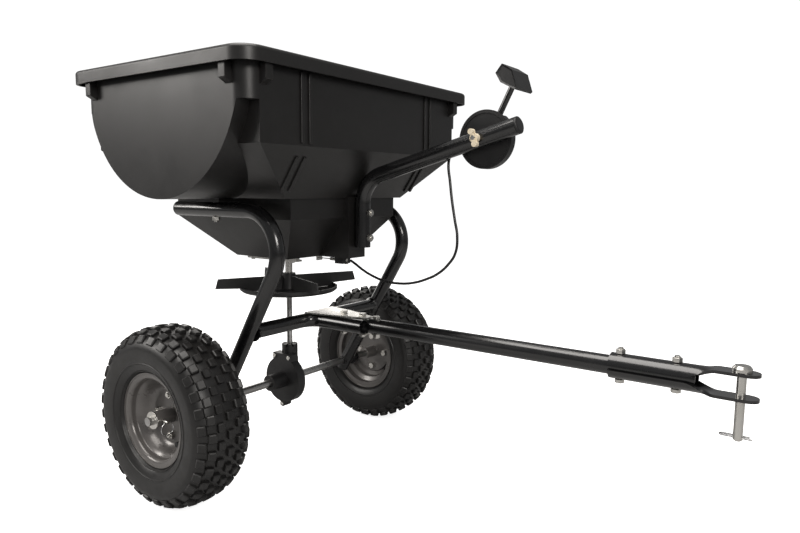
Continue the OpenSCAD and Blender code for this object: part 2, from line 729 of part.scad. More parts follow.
module axle() color(zinc) from_axle() difference() {
    bar_y(axle_d, -axle_half, axle_half);
    translate([0, -track_w / 2 - pin_y, 0]) bar_x(6, -40, 40);
    translate([0, axle_half - 5, 0]) bar_z(3.2, -20, 20);
    translate([0, -crown_hub_y, 0]) bar_z(5, -20, 20);
}

module axle_collars() color(zinc) from_axle() for (side = [0, 1]) mirror([0, side, 0])
    translate([0, leg_gap / 2 + leg_r + 3.5, 0]) difference() {
        bar_y(axle_d + 14, 0, 12);
        bar_y(axle_d, -1, 13);
    }

module axle_washers() color(zinc) from_axle() for (side = [0, 1]) mirror([0, side, 0])
    translate([0, track_w / 2 + hub_len / 2 + 0.5, 0]) difference() {
        bar_y(axle_d + 16, 0, 2.5);
        bar_y(axle_d, -1, 4);
    }

ring_x = hub_d / 2 + 15;
ring_r = 12;

module drive_pin() color(zinc) from_axle() translate([0, -track_w / 2 - pin_y, 0]) difference() {
    union() {
        bar_x(6, -hub_d / 2 - 2, ring_x + 3);
        bar_x(12, -hub_d / 2 - 4, -hub_d / 2 - 1);
    }
    translate([ring_x, 0, 0]) bar_y(3, -4, 4);
}

module pin_ring() color(bright_steel) from_axle()
    translate([ring_x, -track_w / 2 - pin_y, 0.2 - ring_r]) rotate([90, 0, 90])
        rotate_extrude() translate([ring_r, 0]) circle(d = 2, $fn = 24);

module cotter_pin() color(bright_steel) from_axle() translate([0, axle_half - 5, 0]) {
    bar_z(3.2, -axle_r - 8, axle_r + 2);
    translate([0, 0, axle_r + 5.5]) rotate([90, 0, 0]) rotate_extrude()
        translate([3.4, 0]) circle(d = 3, $fn = 24);
}

// Places a wheel with its outer side towards +Y
module at_wheel(side) from_axle() mirror([0, side > 0 ? 0 : 1, 0]) translate([0, track_w / 2, 0])
    children();

module turned() rotate([-90, 0, 0]) rotate_extrude($fn = 96) children();

flange_r = rim_flange_d / 2;
seat_r = flange_r - 10.5;
flange_y = rim_w / 2 - 4.5;

// One pressed half of the rim, from the bolting face at y = 0 out to the flange
module rim_half() difference() {
    turned() polygon([
        [hub_d / 2, 0], [53, 0], [64, 9], [66, 20], [seat_r, 26], [seat_r, flange_y],
        [flange_r, flange_y], [flange_r, rim_w / 2], [flange_r - 2.2, rim_w / 2],
        [flange_r - 2.2, flange_y + rim_t], [seat_r - rim_t, flange_y + rim_t],
        [seat_r - rim_t, 26 + rim_t / 2], [66 - rim_t, 20 + rim_t / 2],
        [64 - rim_t, 9 + rim_t / 2], [53 - rim_t / 2, rim_t], [hub_d / 2, rim_t]]);
    rim_bolt_places() bar_y(8, -5, 10);
    rotate([0, 45, 0]) translate([58, 0, 0]) bar_y(7, -5, 30);
}

module rim_bolt_places() for (k = [0 : 3]) rotate([0, 90 * k, 0])
    translate([rim_bolt_pcd / 2, 0, 0]) children();

module wheel_hub() difference() {
    union() {
        bar_y(hub_d, -hub_len / 2, hub_len / 2);
        bar_y(rim_bolt_pcd + 26, -rim_t - 4, -rim_t);
    }
    children();
    rim_bolt_places() bar_y(8, -20, 20);
}

module rim_bolts() rim_bolt_places() {
    translate([0, -rim_t - 4, 0]) rotate([90, 0, 0]) bolt(8, 2 * rim_t + 4 + nut_h + 3);
    translate([0, rim_t, 0]) rotate([-90, 0, 0]) difference() {
        hexagon(nut_af, nut_h);
        translate([0, 0, -1]) cylinder(d = 8 + eps, h = nut_h + 2);
    }
}

module valve_stem() rotate([0, 45, 0]) translate([58, 0, 0]) {
    bar_y(7, -2, 16);
    translate([0, 16 - eps, 0]) bar_y(9, 0, 8);
}

tyre_r = tyre_d / 2;
belly_r = flange_r + 36;
tyre_t = 7;

// Cross-section of the tyre: a bulged side wall below, a rounded square shoulder above
function tyre_side(in) = [for (a = [0 : 15 : 90])
    [belly_r - (belly_r - flange_r - 0.6 - in * 0.3) * cos(a),
     flange_y + 3.5 - in + (tyre_w / 2 - flange_y - 3.5) * sin(a)]];
function tyre_crown(in) = [for (a = [10 : 10 : 90])
    [belly_r + (tyre_r - in - belly_r) * pow(sin(a), 0.77),
     (tyre_w / 2 - in) * pow(cos(a), 0.77)]];
function flip(p) = [for (i = [len(p) - 1 : -1 : 0]) [p[i][0], -p[i][1]]];

module tyre() turned() {
    outer = concat([[flange_r + 0.3, flange_y - 0.2]], tyre_side(0), tyre_crown(0));
    inner = concat([[seat_r + 0.1, flange_y - 0.2], [seat_r + 0.1, 27], [flange_r + 2, 27]],
        tyre_side(tyre_t), tyre_crown(tyre_t));
    polygon(concat(outer, flip(outer), [for (p = inner) [p[0], -p[1]]], flip([for (p = inner)
        [p[0], -p[1]]])));
}

module rim_outer_right() color(rim_grey) at_wheel(-1) rim_half();
module rim_inner_right() color(rim_grey) at_wheel(-1) mirror([0, 1, 0]) rim_half();
module wheel_hub_right() color(rim_grey) at_wheel(-1) wheel_hub() {
    union() {
        bar_y(axle_d, -100, 100);
        translate([0, pin_y, 0]) bar_x(6, -40, 40);
    }
}
module tyre_right() color(rubber_black) at_wheel(-1) tyre();
module rim_bolts_right() color(zinc) at_wheel(-1) rim_bolts();
module valve_stem_right() color(rubber_black) at_wheel(-1) valve_stem();

module rim_outer_left() color(rim_grey) at_wheel(1) rim_half();
module rim_inner_left() color(rim_grey) at_wheel(1) mirror([0, 1, 0]) rim_half();
module wheel_hub_left() color(rim_grey) at_wheel(1) wheel_hub()
    bar_y(axle_d + 2 * run_c, -100, 100);
module tyre_left() color(rubber_black) at_wheel(1) tyre();
module rim_bolts_left() color(zinc) at_wheel(1) rim_bolts();
module valve_stem_left() color(rubber_black) at_wheel(1) valve_stem();

// ---------------------------------------------------------------- drive

case_screws = [[-21, case_r + 1], [21, case_r + 1], [0, -case_r - 4]];

module case_screw_places() for (p = case_screws) translate([p[0], 0, p[1]]) children();

// The gearbox is drawn with its gear cover towards +Y and stands mirrored on the axle
module at_gearbox() from_axle() mirror([0, 1, 0]) children();

module gear_case() difference() {
    union() {
        bar_y(2 * case_r, case_back_y, case_front_y, $fn = 96);
        bar_y(34, case_front_y - eps, case_boss_end);
        bar_y(30, -26, case_back_y + eps);
        bar_z(2 * neck_r, shaft_low_z - 5, neck_top_z);
        box([-neck_r, -8, shaft_low_z - 5], [neck_r, case_back_y + eps, case_r - 2]);
        box([-27, case_back_y, case_r - 14], [27, case_front_y, case_r + 7]);
        translate([0, 0, -case_r - 4]) bar_y(13, case_back_y, case_front_y);
        box([-6.5, case_back_y, -case_r - 4], [6.5, case_front_y, -case_r + 6]);
    }
    bar_y(2 * (case_r - case_wall), case_back_y + 3, case_front_y - case_wall, $fn = 96);
    bar_y(crown_hub_d + 3, case_front_y - case_wall - eps, crown_hub_end + 1.5);
    bar_z(2 * (pinion_pitch_r + tooth_top + 1.2), pinion_z[0] - 1.5, pinion_z[1] + 1.5);
    bar_y(axle_d + 2 * run_c, -100, 100);
    bar_z(shaft_d + 2 * run_c, shaft_low_z - 0.5, neck_top_z + 1);
    case_screw_places() bar_y(5, case_back_y - 1, case_front_y + 1);
    for (k = [0 : 7]) rotate([0, 0, 45 * k + 22.5])
        box([shaft_d / 2 + 3, -2, neck_top_z - 5], [neck_r + 1, 2, neck_top_z + 1]);
}

module case_cut() box([-200, case_split_y, -200], [200, 200, case_r + 7 + eps]);

module gearbox_half_right() color(moulded_black) at_gearbox() intersection() {
    gear_case();
    case_cut();
}

module gearbox_half_left() color(moulded_black) at_gearbox() difference() {
    gear_case();
    case_cut();
}

module gearbox_screws() color(zinc) at_gearbox() case_screw_places() {
    bar_y(5, case_back_y + 1, case_front_y + eps);
    bar_y(9, case_front_y, case_front_y + 3.5);
}

// Teeth of the crown gear point towards the shaft
module crown_gear() color(cream) at_gearbox() difference() {
    union() {
        bar_y(2 * (crown_pitch_r + crown_face), crown_y, crown_y + crown_t, $fn = 96);
        bar_y(crown_hub_d, crown_y + crown_t - eps, crown_hub_end);
        for (k = [0 : crown_teeth - 1]) rotate([0, 360 * (k + 0.5) / crown_teeth, 0])
            slab_yz(crown_pitch_r - crown_face, crown_pitch_r + crown_face) polygon([
                [crown_y + eps, -1.6], [crown_y - tooth_root - tooth_top + 0.5, -0.75],
                [crown_y - tooth_root - tooth_top + 0.5, 0.75], [crown_y + eps, 1.6]]);
    }
    bar_y(axle_d, 0, 100);
    translate([0, crown_hub_y, 0]) bar_z(5, -40, 40);
}

module gear_pin() color(bright_steel) at_gearbox() translate([0, crown_hub_y, 0])
    bar_z(5, -crown_hub_d / 2, crown_hub_d / 2);

pinion_z = [crown_pitch_r - crown_face - 1, crown_pitch_r + crown_face + 1];

module pinion() color(bright_steel) from_axle() translate([0, 0, pinion_z[0]]) difference() {
    linear_extrude(pinion_z[1] - pinion_z[0]) {
        circle(r = pinion_pitch_r - tooth_root + 0.3);
        for (k = [0 : pinion_teeth - 1]) rotate(360 * k / pinion_teeth + 90) polygon([
            [0, -1.7], [pinion_pitch_r - tooth_root, -1.7], [pinion_pitch_r + tooth_top, -0.8],
            [pinion_pitch_r + tooth_top, 0.8], [pinion_pitch_r - tooth_root, 1.7], [0, 1.7]]);
    }
    bar_z(shaft_d, -1, 30);
}

agitator_z = floor_z + 50;

module spinner_shaft() color(zinc) from_axle() difference() {
    bar_z(shaft_d, shaft_low_z, shaft_top_z);
    translate([0, 0, agitator_z]) bar_x(6, -20, 20);
    for (z = [disc_z + 28, shaft_top_z - 8]) translate([0, 0, z]) bar_y(4, -20, 20);
}

module shaft_sleeve() color(zinc) from_axle() difference() {
    bar_z(sleeve_d, hub_top_z, floor_z - 7.6);
    bar_z(shaft_d, 0, 400);
}

module spinner_disc() color(moulded_black) from_axle() difference() {
    union() {
        translate([0, 0, disc_z]) rotate_extrude($fn = 96) polygon([
            [0, 0], [disc_r - 14, 0], [disc_r - 5, 2], [disc_r, 6], [disc_r, 12],
            [disc_r - 3, 12], [disc_r - 3, 8], [disc_r - 15, 4], [20, 4], [17, 6], [14, 40], [0, 40]]);
        for (k = [0 : 3]) rotate(66 + 90 * k) slab_xz(-1.5, 1.5) polygon([
            [0, disc_z + 2], [disc_r - 4, disc_z + 6], [disc_r, disc_z + 12], [fin_r, disc_z + 15],
            [fin_r - 6, disc_z + 35], [0, disc_z + 35]]);
    }
    bar_z(shaft_d, 0, 400);
    translate([0, 0, disc_z + 28]) bar_y(4, -30, 30);
}

module spinner_pins() color(bright_steel) from_axle()
    for (z = [disc_z + 28, shaft_top_z - 8]) translate([0, 0, z]) bar_y(4, -14, 14);

// Bent stirring rod through the top of the shaft
module agitator() color(bright_steel) from_axle() translate([0, 0, agitator_z]) {
    bar_x(6, -38, 38);
    for (side = [-1, 1]) translate([side * 38, 0, 0]) {
        sphere(d = 6, $fn = 24);
        bar_z(6, 0, 26);
    }
}

hopper();
shaft_bush();
gate_guides();
gate_screws();
shutter_plate();
gate_wire();
cable_clamp();
cable_ferrules();
control_cable();
lever_wire();
frame_leg_right();
frame_leg_left();
tube_plugs();
cross_tube_right();
cross_tube_left();
hitch_plates();
drawbar_tongue();
axle_bushes();
frame_bolts();
frame_nuts();
drawbar();
hitch_strap_upper();
hitch_strap_lower();
hitch_pin();
hitch_clip();
control_arm();
dial();
pivot_bolt();
wing_nut();
lever();
lever_grip();
axle();
axle_collars();
axle_washers();
drive_pin();
pin_ring();
cotter_pin();
rim_outer_right();
rim_inner_right();
wheel_hub_right();
tyre_right();
rim_bolts_right();
valve_stem_right();
rim_outer_left();
rim_inner_left();
wheel_hub_left();
tyre_left();
rim_bolts_left();
valve_stem_left();
gearbox_half_right();
gearbox_half_left();
gearbox_screws();
crown_gear();
gear_pin();
pinion();
spinner_shaft();
shaft_sleeve();
spinner_disc();
spinner_pins();
agitator();
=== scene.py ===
"""A tow-behind broadcast spreader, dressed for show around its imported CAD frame.

Sizes are millimetres about the middle of the axle, as on the maker's drawings, and spot()
carries them to the frame's metres. +X is the towing direction and +Z is up.
"""

import json
import logging
import math
from dataclasses import dataclass, field
from enum import Enum
from typing import Iterable, List, Sequence, Tuple

import bmesh
import bpy
from mathutils import Matrix, Vector

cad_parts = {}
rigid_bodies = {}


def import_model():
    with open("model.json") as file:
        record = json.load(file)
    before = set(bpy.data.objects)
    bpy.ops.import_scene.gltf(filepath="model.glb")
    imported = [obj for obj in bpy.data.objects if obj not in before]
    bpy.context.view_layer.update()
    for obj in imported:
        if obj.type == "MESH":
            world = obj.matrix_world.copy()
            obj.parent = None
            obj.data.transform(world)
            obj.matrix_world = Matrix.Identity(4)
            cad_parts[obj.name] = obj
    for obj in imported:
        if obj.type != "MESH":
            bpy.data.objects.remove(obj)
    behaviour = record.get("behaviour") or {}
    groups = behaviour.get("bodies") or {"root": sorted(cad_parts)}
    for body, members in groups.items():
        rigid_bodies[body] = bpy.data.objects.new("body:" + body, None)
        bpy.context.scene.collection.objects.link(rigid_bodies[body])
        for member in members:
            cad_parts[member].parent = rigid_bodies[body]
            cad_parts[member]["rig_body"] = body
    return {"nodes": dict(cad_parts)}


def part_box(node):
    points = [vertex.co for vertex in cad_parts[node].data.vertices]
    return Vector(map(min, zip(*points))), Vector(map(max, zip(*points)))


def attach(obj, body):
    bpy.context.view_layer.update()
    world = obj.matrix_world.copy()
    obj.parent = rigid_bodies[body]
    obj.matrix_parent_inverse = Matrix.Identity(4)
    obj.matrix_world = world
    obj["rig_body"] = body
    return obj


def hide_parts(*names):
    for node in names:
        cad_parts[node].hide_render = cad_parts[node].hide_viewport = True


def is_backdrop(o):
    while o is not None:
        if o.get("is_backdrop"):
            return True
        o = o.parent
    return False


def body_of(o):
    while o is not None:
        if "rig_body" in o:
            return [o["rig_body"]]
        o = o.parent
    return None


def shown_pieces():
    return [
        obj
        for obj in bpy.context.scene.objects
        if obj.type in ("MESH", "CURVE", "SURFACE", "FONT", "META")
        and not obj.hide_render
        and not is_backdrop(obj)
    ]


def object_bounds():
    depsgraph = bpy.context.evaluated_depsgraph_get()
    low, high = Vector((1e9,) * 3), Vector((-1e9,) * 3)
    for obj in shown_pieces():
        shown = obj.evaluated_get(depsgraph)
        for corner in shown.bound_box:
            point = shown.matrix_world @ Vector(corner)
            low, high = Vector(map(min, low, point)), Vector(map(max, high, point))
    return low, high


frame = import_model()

CAD_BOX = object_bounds()
MM = 0.001
AXLE_LOW, AXLE_HIGH = (Vector(corner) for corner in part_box("axle"))
AXLE = Vector(((AXLE_LOW.x + AXLE_HIGH.x) / 2, 0.0, (AXLE_LOW.z + AXLE_HIGH.z) / 2))
TO_FRAME = Matrix.Translation(AXLE) @ Matrix.Scale(MM, 4)
X_AXIS, Y_AXIS, Z_AXIS = Vector((1, 0, 0)), Vector((0, 1, 0)), Vector((0, 0, 1))
FULL_TURN = 2 * math.pi

LOG = logging.getLogger("spreader")


class Side(Enum):
    """The two sides of the machine, as the way they lie along Y."""

    RIGHT = -1
    LEFT = 1


class Body(Enum):
    """The moving bodies of the machine."""

    FRAME = "frame"
    DRIVE_AXLE = "drive_axle"
    FREE_WHEEL = "free_wheel"
    SPINNER = "spinner"
    LEVER = "rate_lever"
    WIRE = "lever_cable_end"
    GATE = "gate"
    LOCK_NUT = "lock_nut"
    HITCH_PIN = "hitch_pin"
    HITCH_CLIP = "hitch_clip"


def spot(x: float, y: float, z: float) -> Vector:
    """Carries a point in millimetres about the axle to the frame's metres."""
    return TO_FRAME @ Vector((x, y, z))


def linear(code: str) -> Tuple[float, float, float, float]:
    """Turns an sRGB hex colour to a linear one.

    Args:
        code: the colour as "#rrggbb".

    Returns:
        Red, green, blue and an alpha of one.
    """
    parts = [int(code[i:i + 2], 16) / 255 for i in (1, 3, 5)]
    red, green, blue = [
        c / 12.92 if c <= 0.04045 else ((c + 0.055) / 1.055) ** 2.4 for c in parts]
    return red, green, blue, 1.0


def add_node(tree: bpy.types.NodeTree, kind: str, settings: dict, links: dict) -> bpy.types.Node:
    """Adds a node to a material's tree.

    Args:
        tree: the tree that gets the node.
        kind: Blender's name of the node's type.
        settings: values of its sockets, by name or number, and of its own properties.
        links: the output that feeds each socket, by the socket's name or number.

    Returns:
        The new node.
    """
    node = tree.nodes.new(kind)
    for key, value in settings.items():
        if isinstance(key, int) or key in node.inputs:
            node.inputs[key].default_value = value
        else:
            setattr(node, key, value)
    for key, source in links.items():
        tree.links.new(source, node.inputs[key])
    return node


# ------------------------------------------------------------------ finishes


@dataclass(frozen=True)
class Finish:
    """A surface finish: two close shades in patches, a grain and a spread of gloss.

    The grain is drawn from noise of grain_mm across.
    """

    name: str
    slot: str
    shade: str
    patch: str
    metallic: float = 0.0
    roughness: float = 0.5
    gloss_spread: float = 0.1
    patch_mm: float = 60.0
    grain_mm: float = 1.5
    grain_depth_mm: float = 0.05
    stretch: Tuple[float, float, float] = (1.0, 1.0, 1.0)
    coat: float = 0.0
    coat_roughness: float = 0.1
    ior: float = 1.5
    scuff: str = ""
    scuff_share: float = 0.0

    def build(self) -> bpy.types.Material:
        """Makes the material, once for each finish."""
        made = bpy.data.materials.get(self.name)
        if made is not None:
            return made
        made = bpy.data.materials.new(self.name)
        made.use_nodes = True
        tree = made.node_tree
        tree.nodes.clear()
        place = add_node(tree, "ShaderNodeTexCoord", {}, {})
        patches = add_node(tree, "ShaderNodeTexNoise", {
            "Scale": 1 / (self.patch_mm * MM), "Detail": 4.0, "Roughness": 0.6},
            {"Vector": place.outputs["Object"]})
        turned = add_node(tree, "ShaderNodeMapping", {"Scale": self.stretch},
                          {"Vector": place.outputs["Object"]})
        grain = add_node(tree, "ShaderNodeTexNoise", {
            "Scale": 1 / (self.grain_mm * MM), "Detail": 3.0, "Roughness": 0.55},
            {"Vector": turned.outputs["Vector"]})
        colour = add_node(tree, "ShaderNodeMix", {
            "data_type": "RGBA", 6: linear(self.shade), 7: linear(self.patch)},
            {0: patches.outputs["Fac"]})
        colour_out = colour.outputs[2]
        if self.scuff:
            colour_out = self.scuffed(tree, place, grain, colour_out)
        gloss = add_node(tree, "ShaderNodeMapRange", {
            "From Min": 0.3, "From Max": 0.7,
            "To Min": max(self.roughness - self.gloss_spread, 0.02),
            "To Max": self.roughness + self.gloss_spread},
            {"Value": patches.outputs["Fac"]})
        bump = add_node(tree, "ShaderNodeBump", {
            "Strength": 1.0, "Distance": self.grain_depth_mm * MM},
            {"Height": grain.outputs["Fac"]})
        shader = add_node(tree, "ShaderNodeBsdfPrincipled", {
            "Metallic": self.metallic, "IOR": self.ior, "Coat Weight": self.coat,
            "Coat Roughness": self.coat_roughness},
            {"Base Color": colour_out, "Roughness": gloss.outputs["Result"],
             "Normal": bump.outputs["Normal"]})
        add_node(tree, "ShaderNodeOutputMaterial", {}, {"Surface": shader.outputs["BSDF"]})
        return made

    def scuffed(self, tree: bpy.types.NodeTree, place: bpy.types.Node, grain: bpy.types.Node,
                under: bpy.types.NodeSocket) -> bpy.types.NodeSocket:
        """Lays pale dust and rub marks over the colour.

        Args:
            tree: the material's tree.
            place: the node that gives the place on the piece.
            grain: the grain's noise, which breaks the marks up.
            under: the colour below the marks.

        Returns:
            The colour with its marks.
        """
        marks = add_node(tree, "ShaderNodeTexNoise", {
            "Scale": 1 / (0.35 * self.patch_mm * MM), "Detail": 8.0, "Roughness": 0.7},
            {"Vector": place.outputs["Object"]})
        broken = add_node(tree, "ShaderNodeMath", {"operation": "MULTIPLY"}, {
            0: marks.outputs["Fac"], 1: grain.outputs["Fac"]})
        share = add_node(tree, "ShaderNodeMapRange", {
            "From Min": 0.22, "From Max": 0.5, "To Min": 0.0, "To Max": self.scuff_share},
            {"Value": broken.outputs["Value"]})
        over = add_node(tree, "ShaderNodeMix", {"data_type": "RGBA", 7: linear(self.scuff)},
                        {0: share.outputs["Result"], 6: under})
        return over.outputs[2]


# Rotomoulded polyethylene: a soft, even sheen with a fine pebble grain
HOPPER_PLASTIC = Finish(
    "rotomoulded_polyethylene", "hopper_plastic", "#121111", "#171615", roughness=0.4,
    gloss_spread=0.05, patch_mm=90, grain_mm=1.6, grain_depth_mm=0.07, scuff="#3a3a3c",
    scuff_share=0.12)
# Black powder coat: wet-looking, with a slight orange peel
POWDER_COAT = Finish(
    "black_powder_coat", "frame_paint", "#060607", "#0c0c0d", roughness=0.24,
    gloss_spread=0.05, patch_mm=45, grain_mm=3.0, grain_depth_mm=0.035, coat=0.5,
    coat_roughness=0.12, scuff="#2c2c2e", scuff_share=0.12)
# Glass-filled nylon and polypropylene mouldings: dull black with a spark-eroded texture
MOULDED_NYLON = Finish(
    "moulded_black_nylon", "moulded_plastic", "#111112", "#19191a", roughness=0.46,
    gloss_spread=0.08, patch_mm=25, grain_mm=1.2, grain_depth_mm=0.06, scuff="#3c3a38",
    scuff_share=0.18)
# Bright zinc plate on pressed and turned steel: silver with a warm, cloudy bloom
ZINC_PLATE = Finish(
    "bright_zinc_plate", "zinc_plate", "#d6d5d2", "#c2bfb8", metallic=1.0, roughness=0.26,
    gloss_spread=0.06, patch_mm=40, grain_mm=1.0, grain_depth_mm=0.006)
# Drawn steel bar: fine lines along its length
AXLE_STEEL = Finish(
    "drawn_axle_steel", "axle_steel", "#c4c4c4", "#8f8d8a", metallic=1.0, roughness=0.3,
    gloss_spread=0.12, patch_mm=30, grain_mm=1.2, grain_depth_mm=0.03, stretch=(1.0, 0.06, 1.0))
# Spring wire: bright, drawn and lightly oiled
SPRING_STEEL = Finish(
    "spring_steel_wire", "spring_steel", "#cfcfcf", "#8e8e90", metallic=1.0, roughness=0.25,
    gloss_spread=0.1, patch_mm=12, grain_mm=0.9, grain_depth_mm=0.02)
# Grey baked enamel on the pressed rims: smooth and fairly glossy, a little warm
RIM_ENAMEL = Finish(
    "warm_grey_enamel", "rim_paint", "#5f5c5a", "#6a6765", metallic=0.35, roughness=0.32,
    gloss_spread=0.06, patch_mm=30, grain_mm=1.1, grain_depth_mm=0.012, coat=0.3,
    scuff="#35332f", scuff_share=0.25)
# Tyre compound: dull carbon black with a dusty bloom
TYRE_RUBBER = Finish(
    "tyre_compound", "tyre_rubber", "#0f0e0e", "#161514", roughness=0.4,
    gloss_spread=0.08, patch_mm=22, grain_mm=1.8, grain_depth_mm=0.06, scuff="#3a3836",
    scuff_share=0.2)
# Soft black rubber of the valve stems
VALVE_RUBBER = Finish(
    "valve_rubber", "rubber", "#151515", "#222222", roughness=0.6, patch_mm=8, grain_mm=0.9,
    grain_depth_mm=0.04)
# Extruded cable jacket: smooth, shiny PVC
CABLE_JACKET = Finish(
    "pvc_cable_jacket", "cable_jacket", "#0b0b0c", "#131314", roughness=0.3,
    gloss_spread=0.06, patch_mm=14, grain_mm=1.2, grain_depth_mm=0.02)
# Natural acetal: ivory, faintly waxy
IVORY_ACETAL = Finish(
    "ivory_acetal", "cream_plastic", "#e6dac4", "#d6c8ae", roughness=0.42, gloss_spread=0.08,
    patch_mm=12, grain_mm=1.0, grain_depth_mm=0.03, scuff="#8f8672", scuff_share=0.4)


# ------------------------------------------------------------------ mesh tools


def smooth(mesh: bpy.types.Mesh, sharp_over: float) -> None:
    """Shades a mesh smooth but for the edges that turn by more than sharp_over degrees."""
    mesh.polygons.foreach_set("use_smooth", [True] * len(mesh.polygons))
    mesh.set_sharp_from_angle(angle=math.radians(sharp_over))


def make_piece(name: str, bm: bmesh.types.BMesh, body: Body, finish: Finish,
               nodes: Sequence[str] = (), sharp_over: float = 38, in_mm: bool = True,
               even: bool = True) -> bpy.types.Object:
    """Turns a bmesh to a finished piece of the machine.

    Args:
        name: the piece's name.
        bm: its shape, which is freed.
        body: what it moves with.
        finish: its surface.
        nodes: the CAD nodes that it stands for.
        sharp_over: edges that turn by more degrees than this stay sharp.
        in_mm: True if the shape is in millimetres about the axle.
        even: True to even the shading of flat faces between rounded edges.

    Returns:
        The new object.
    """
    if in_mm:
        bmesh.ops.transform(bm, matrix=TO_FRAME, verts=bm.verts)
    mesh = bpy.data.meshes.new(name)
    bm.to_mesh(mesh)
    bm.free()
    smooth(mesh, sharp_over)
    mesh.materials.append(finish.build())
    piece = bpy.data.objects.new(name, mesh)
    bpy.context.scene.collection.objects.link(piece)
    if even:
        shading = piece.modifiers.new("even shading", "WEIGHTED_NORMAL")
        shading.keep_sharp = True
    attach(piece, body.value)
    if nodes:
        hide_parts(*nodes)
    LOG.info("%s: %d faces, moves with %s", name, len(mesh.polygons), body.value)
    return piece


def round_edges(bm: bmesh.types.BMesh, width: float, segments: int = 2,
                sharper_than: float = 35) -> None:
    """Rounds every edge that turns by more than an angle.

    Args:
        bm: the shape.
        width: how wide the rounding is.
        segments: the steps across it.
        sharper_than: the least turn, in degrees, of an edge that is rounded.
    """
    least = math.radians(sharper_than)
    edges = [e for e in bm.edges if e.is_manifold and e.calc_face_angle(0) > least]
    bmesh.ops.bevel(bm, geom=edges, offset=width, offset_type="OFFSET", affect="EDGES",
                    segments=segments, profile=0.5, material=-1, clamp_overlap=True)


def dress(node: str, finish: Finish) -> None:
    """Gives a CAD part that stays as it is its finish."""
    slots = frame["nodes"][node].data.materials
    slots.clear()
    slots.append(finish.build())
    LOG.info("%s: stays as drawn, in %s", node, finish.name)


def cad_mesh(node: str) -> bmesh.types.BMesh:
    """Copies a CAD part's mesh with its doubled corners merged and its flat faces whole.

    Args:
        node: the CAD part.

    Returns:
        The copy, in metres.
    """
    bm = bmesh.new()
    bm.from_mesh(frame["nodes"][node].data)
    bmesh.ops.remove_doubles(bm, verts=bm.verts, dist=0.01 * MM)
    bmesh.ops.dissolve_limit(bm, angle_limit=math.radians(0.8), verts=bm.verts, edges=bm.edges)
    return bm


def refined(node: str, finish: Finish, width: float = 0.6, segments: int = 2,
            sharper_than: float = 35, sharp_over: float = 38) -> bpy.types.Object:
    """Rounds the edges of a CAD part, as casting, stamping or moulding leaves them.

    Args:
        node: the CAD part that it starts from and stands for.
        finish: its surface.
        width: the rounding, in millimetres.
        segments: the steps across it.
        sharper_than: the least turn, in degrees, of an edge that is rounded.
        sharp_over: edges that turn by more degrees than this are shaded sharp.

    Returns:
        The new object.
    """
    bm = cad_mesh(node)
    if width > 0:
        round_edges(bm, width * MM, segments, sharper_than)
    body = Body(body_of(frame["nodes"][node])[0])
    return make_piece(f"finished_{node}", bm, body, finish, [node], sharp_over, in_mm=False)


def bar(bm: bmesh.types.BMesh, start: Vector, end: Vector, radius: float,
        sides: int = 32) -> List[bmesh.types.BMVert]:
    """Adds a round bar.

    Args:
        bm: the shape that gets it.
        start: the middle of its first end.
        end: the middle of its other end.
        radius: its radius.
        sides: its facets around.

    Returns:
        The new corners.
    """
    run = end - start
    place = Matrix.Translation((start + end) / 2) @ run.to_track_quat("Z", "Y").to_matrix().to_4x4()
    made = bmesh.ops.create_cone(
        bm, cap_ends=True, cap_tris=False, segments=sides, radius1=radius, radius2=radius,
        depth=run.length, matrix=place)
    return made["verts"]


def block(bm: bmesh.types.BMesh, low: Sequence[float], high: Sequence[float]
          ) -> List[bmesh.types.BMVert]:
    """Adds a square block between two corners and gives its own corners."""
    low, high = Vector(low), Vector(high)
    size = high - low
    place = Matrix.Translation((low + high) / 2) @ Matrix.Diagonal((*size, 1.0))
    return bmesh.ops.create_cube(bm, size=1.0, matrix=place)["verts"]


def prism(bm: bmesh.types.BMesh, outline: Iterable[Sequence[float]], push: Vector
          ) -> List[bmesh.types.BMVert]:
    """Adds a prism: a flat outline pushed along a direction.

    Args:
        bm: the shape that gets it.
        outline: the corners of the flat face.
        push: how far and which way it is drawn out.

    Returns:
        The new corners.
    """
    first = [bm.verts.new(p) for p in outline]
    face = bm.faces.new(first)
    made = bmesh.ops.extrude_face_region(bm, geom=[face])
    moved = [g for g in made["geom"] if isinstance(g, bmesh.types.BMVert)]
    bmesh.ops.translate(bm, vec=push, verts=moved)
    every = first + moved
    bmesh.ops.recalc_face_normals(bm, faces=list({f for v in every for f in v.link_faces}))
    return every


def turned(bm: bmesh.types.BMesh, outline: Sequence[Tuple[float, float]], centre: Vector,
           axis: Vector, steps: int, closed: bool = True) -> None:
    """Adds a piece turned on a lathe.

    Args:
        bm: the shape that gets it.
        outline: (distance from the axis, place along it) of each corner of the profile.
        centre: a point on the axis, from which places along it count.
        axis: which way the axis runs.
        steps: facets around.
        closed: True if the profile's last corner joins its first.
    """
    out = Z_AXIS if abs(axis.x) > 0.5 else X_AXIS
    corners = [bm.verts.new(centre + out * r + axis * t) for r, t in outline]
    pairs = list(zip(corners, corners[1:])) + ([(corners[-1], corners[0])] if closed else [])
    edges = [bm.edges.new(p) for p in pairs]
    bmesh.ops.spin(bm, geom=corners + edges, cent=centre, axis=axis, dvec=(0, 0, 0),
                   angle=FULL_TURN, steps=steps, use_merge=True, use_duplicate=False)
    bmesh.ops.remove_doubles(bm, verts=bm.verts, dist=0.001)
    bmesh.ops.recalc_face_normals(bm, faces=bm.faces)


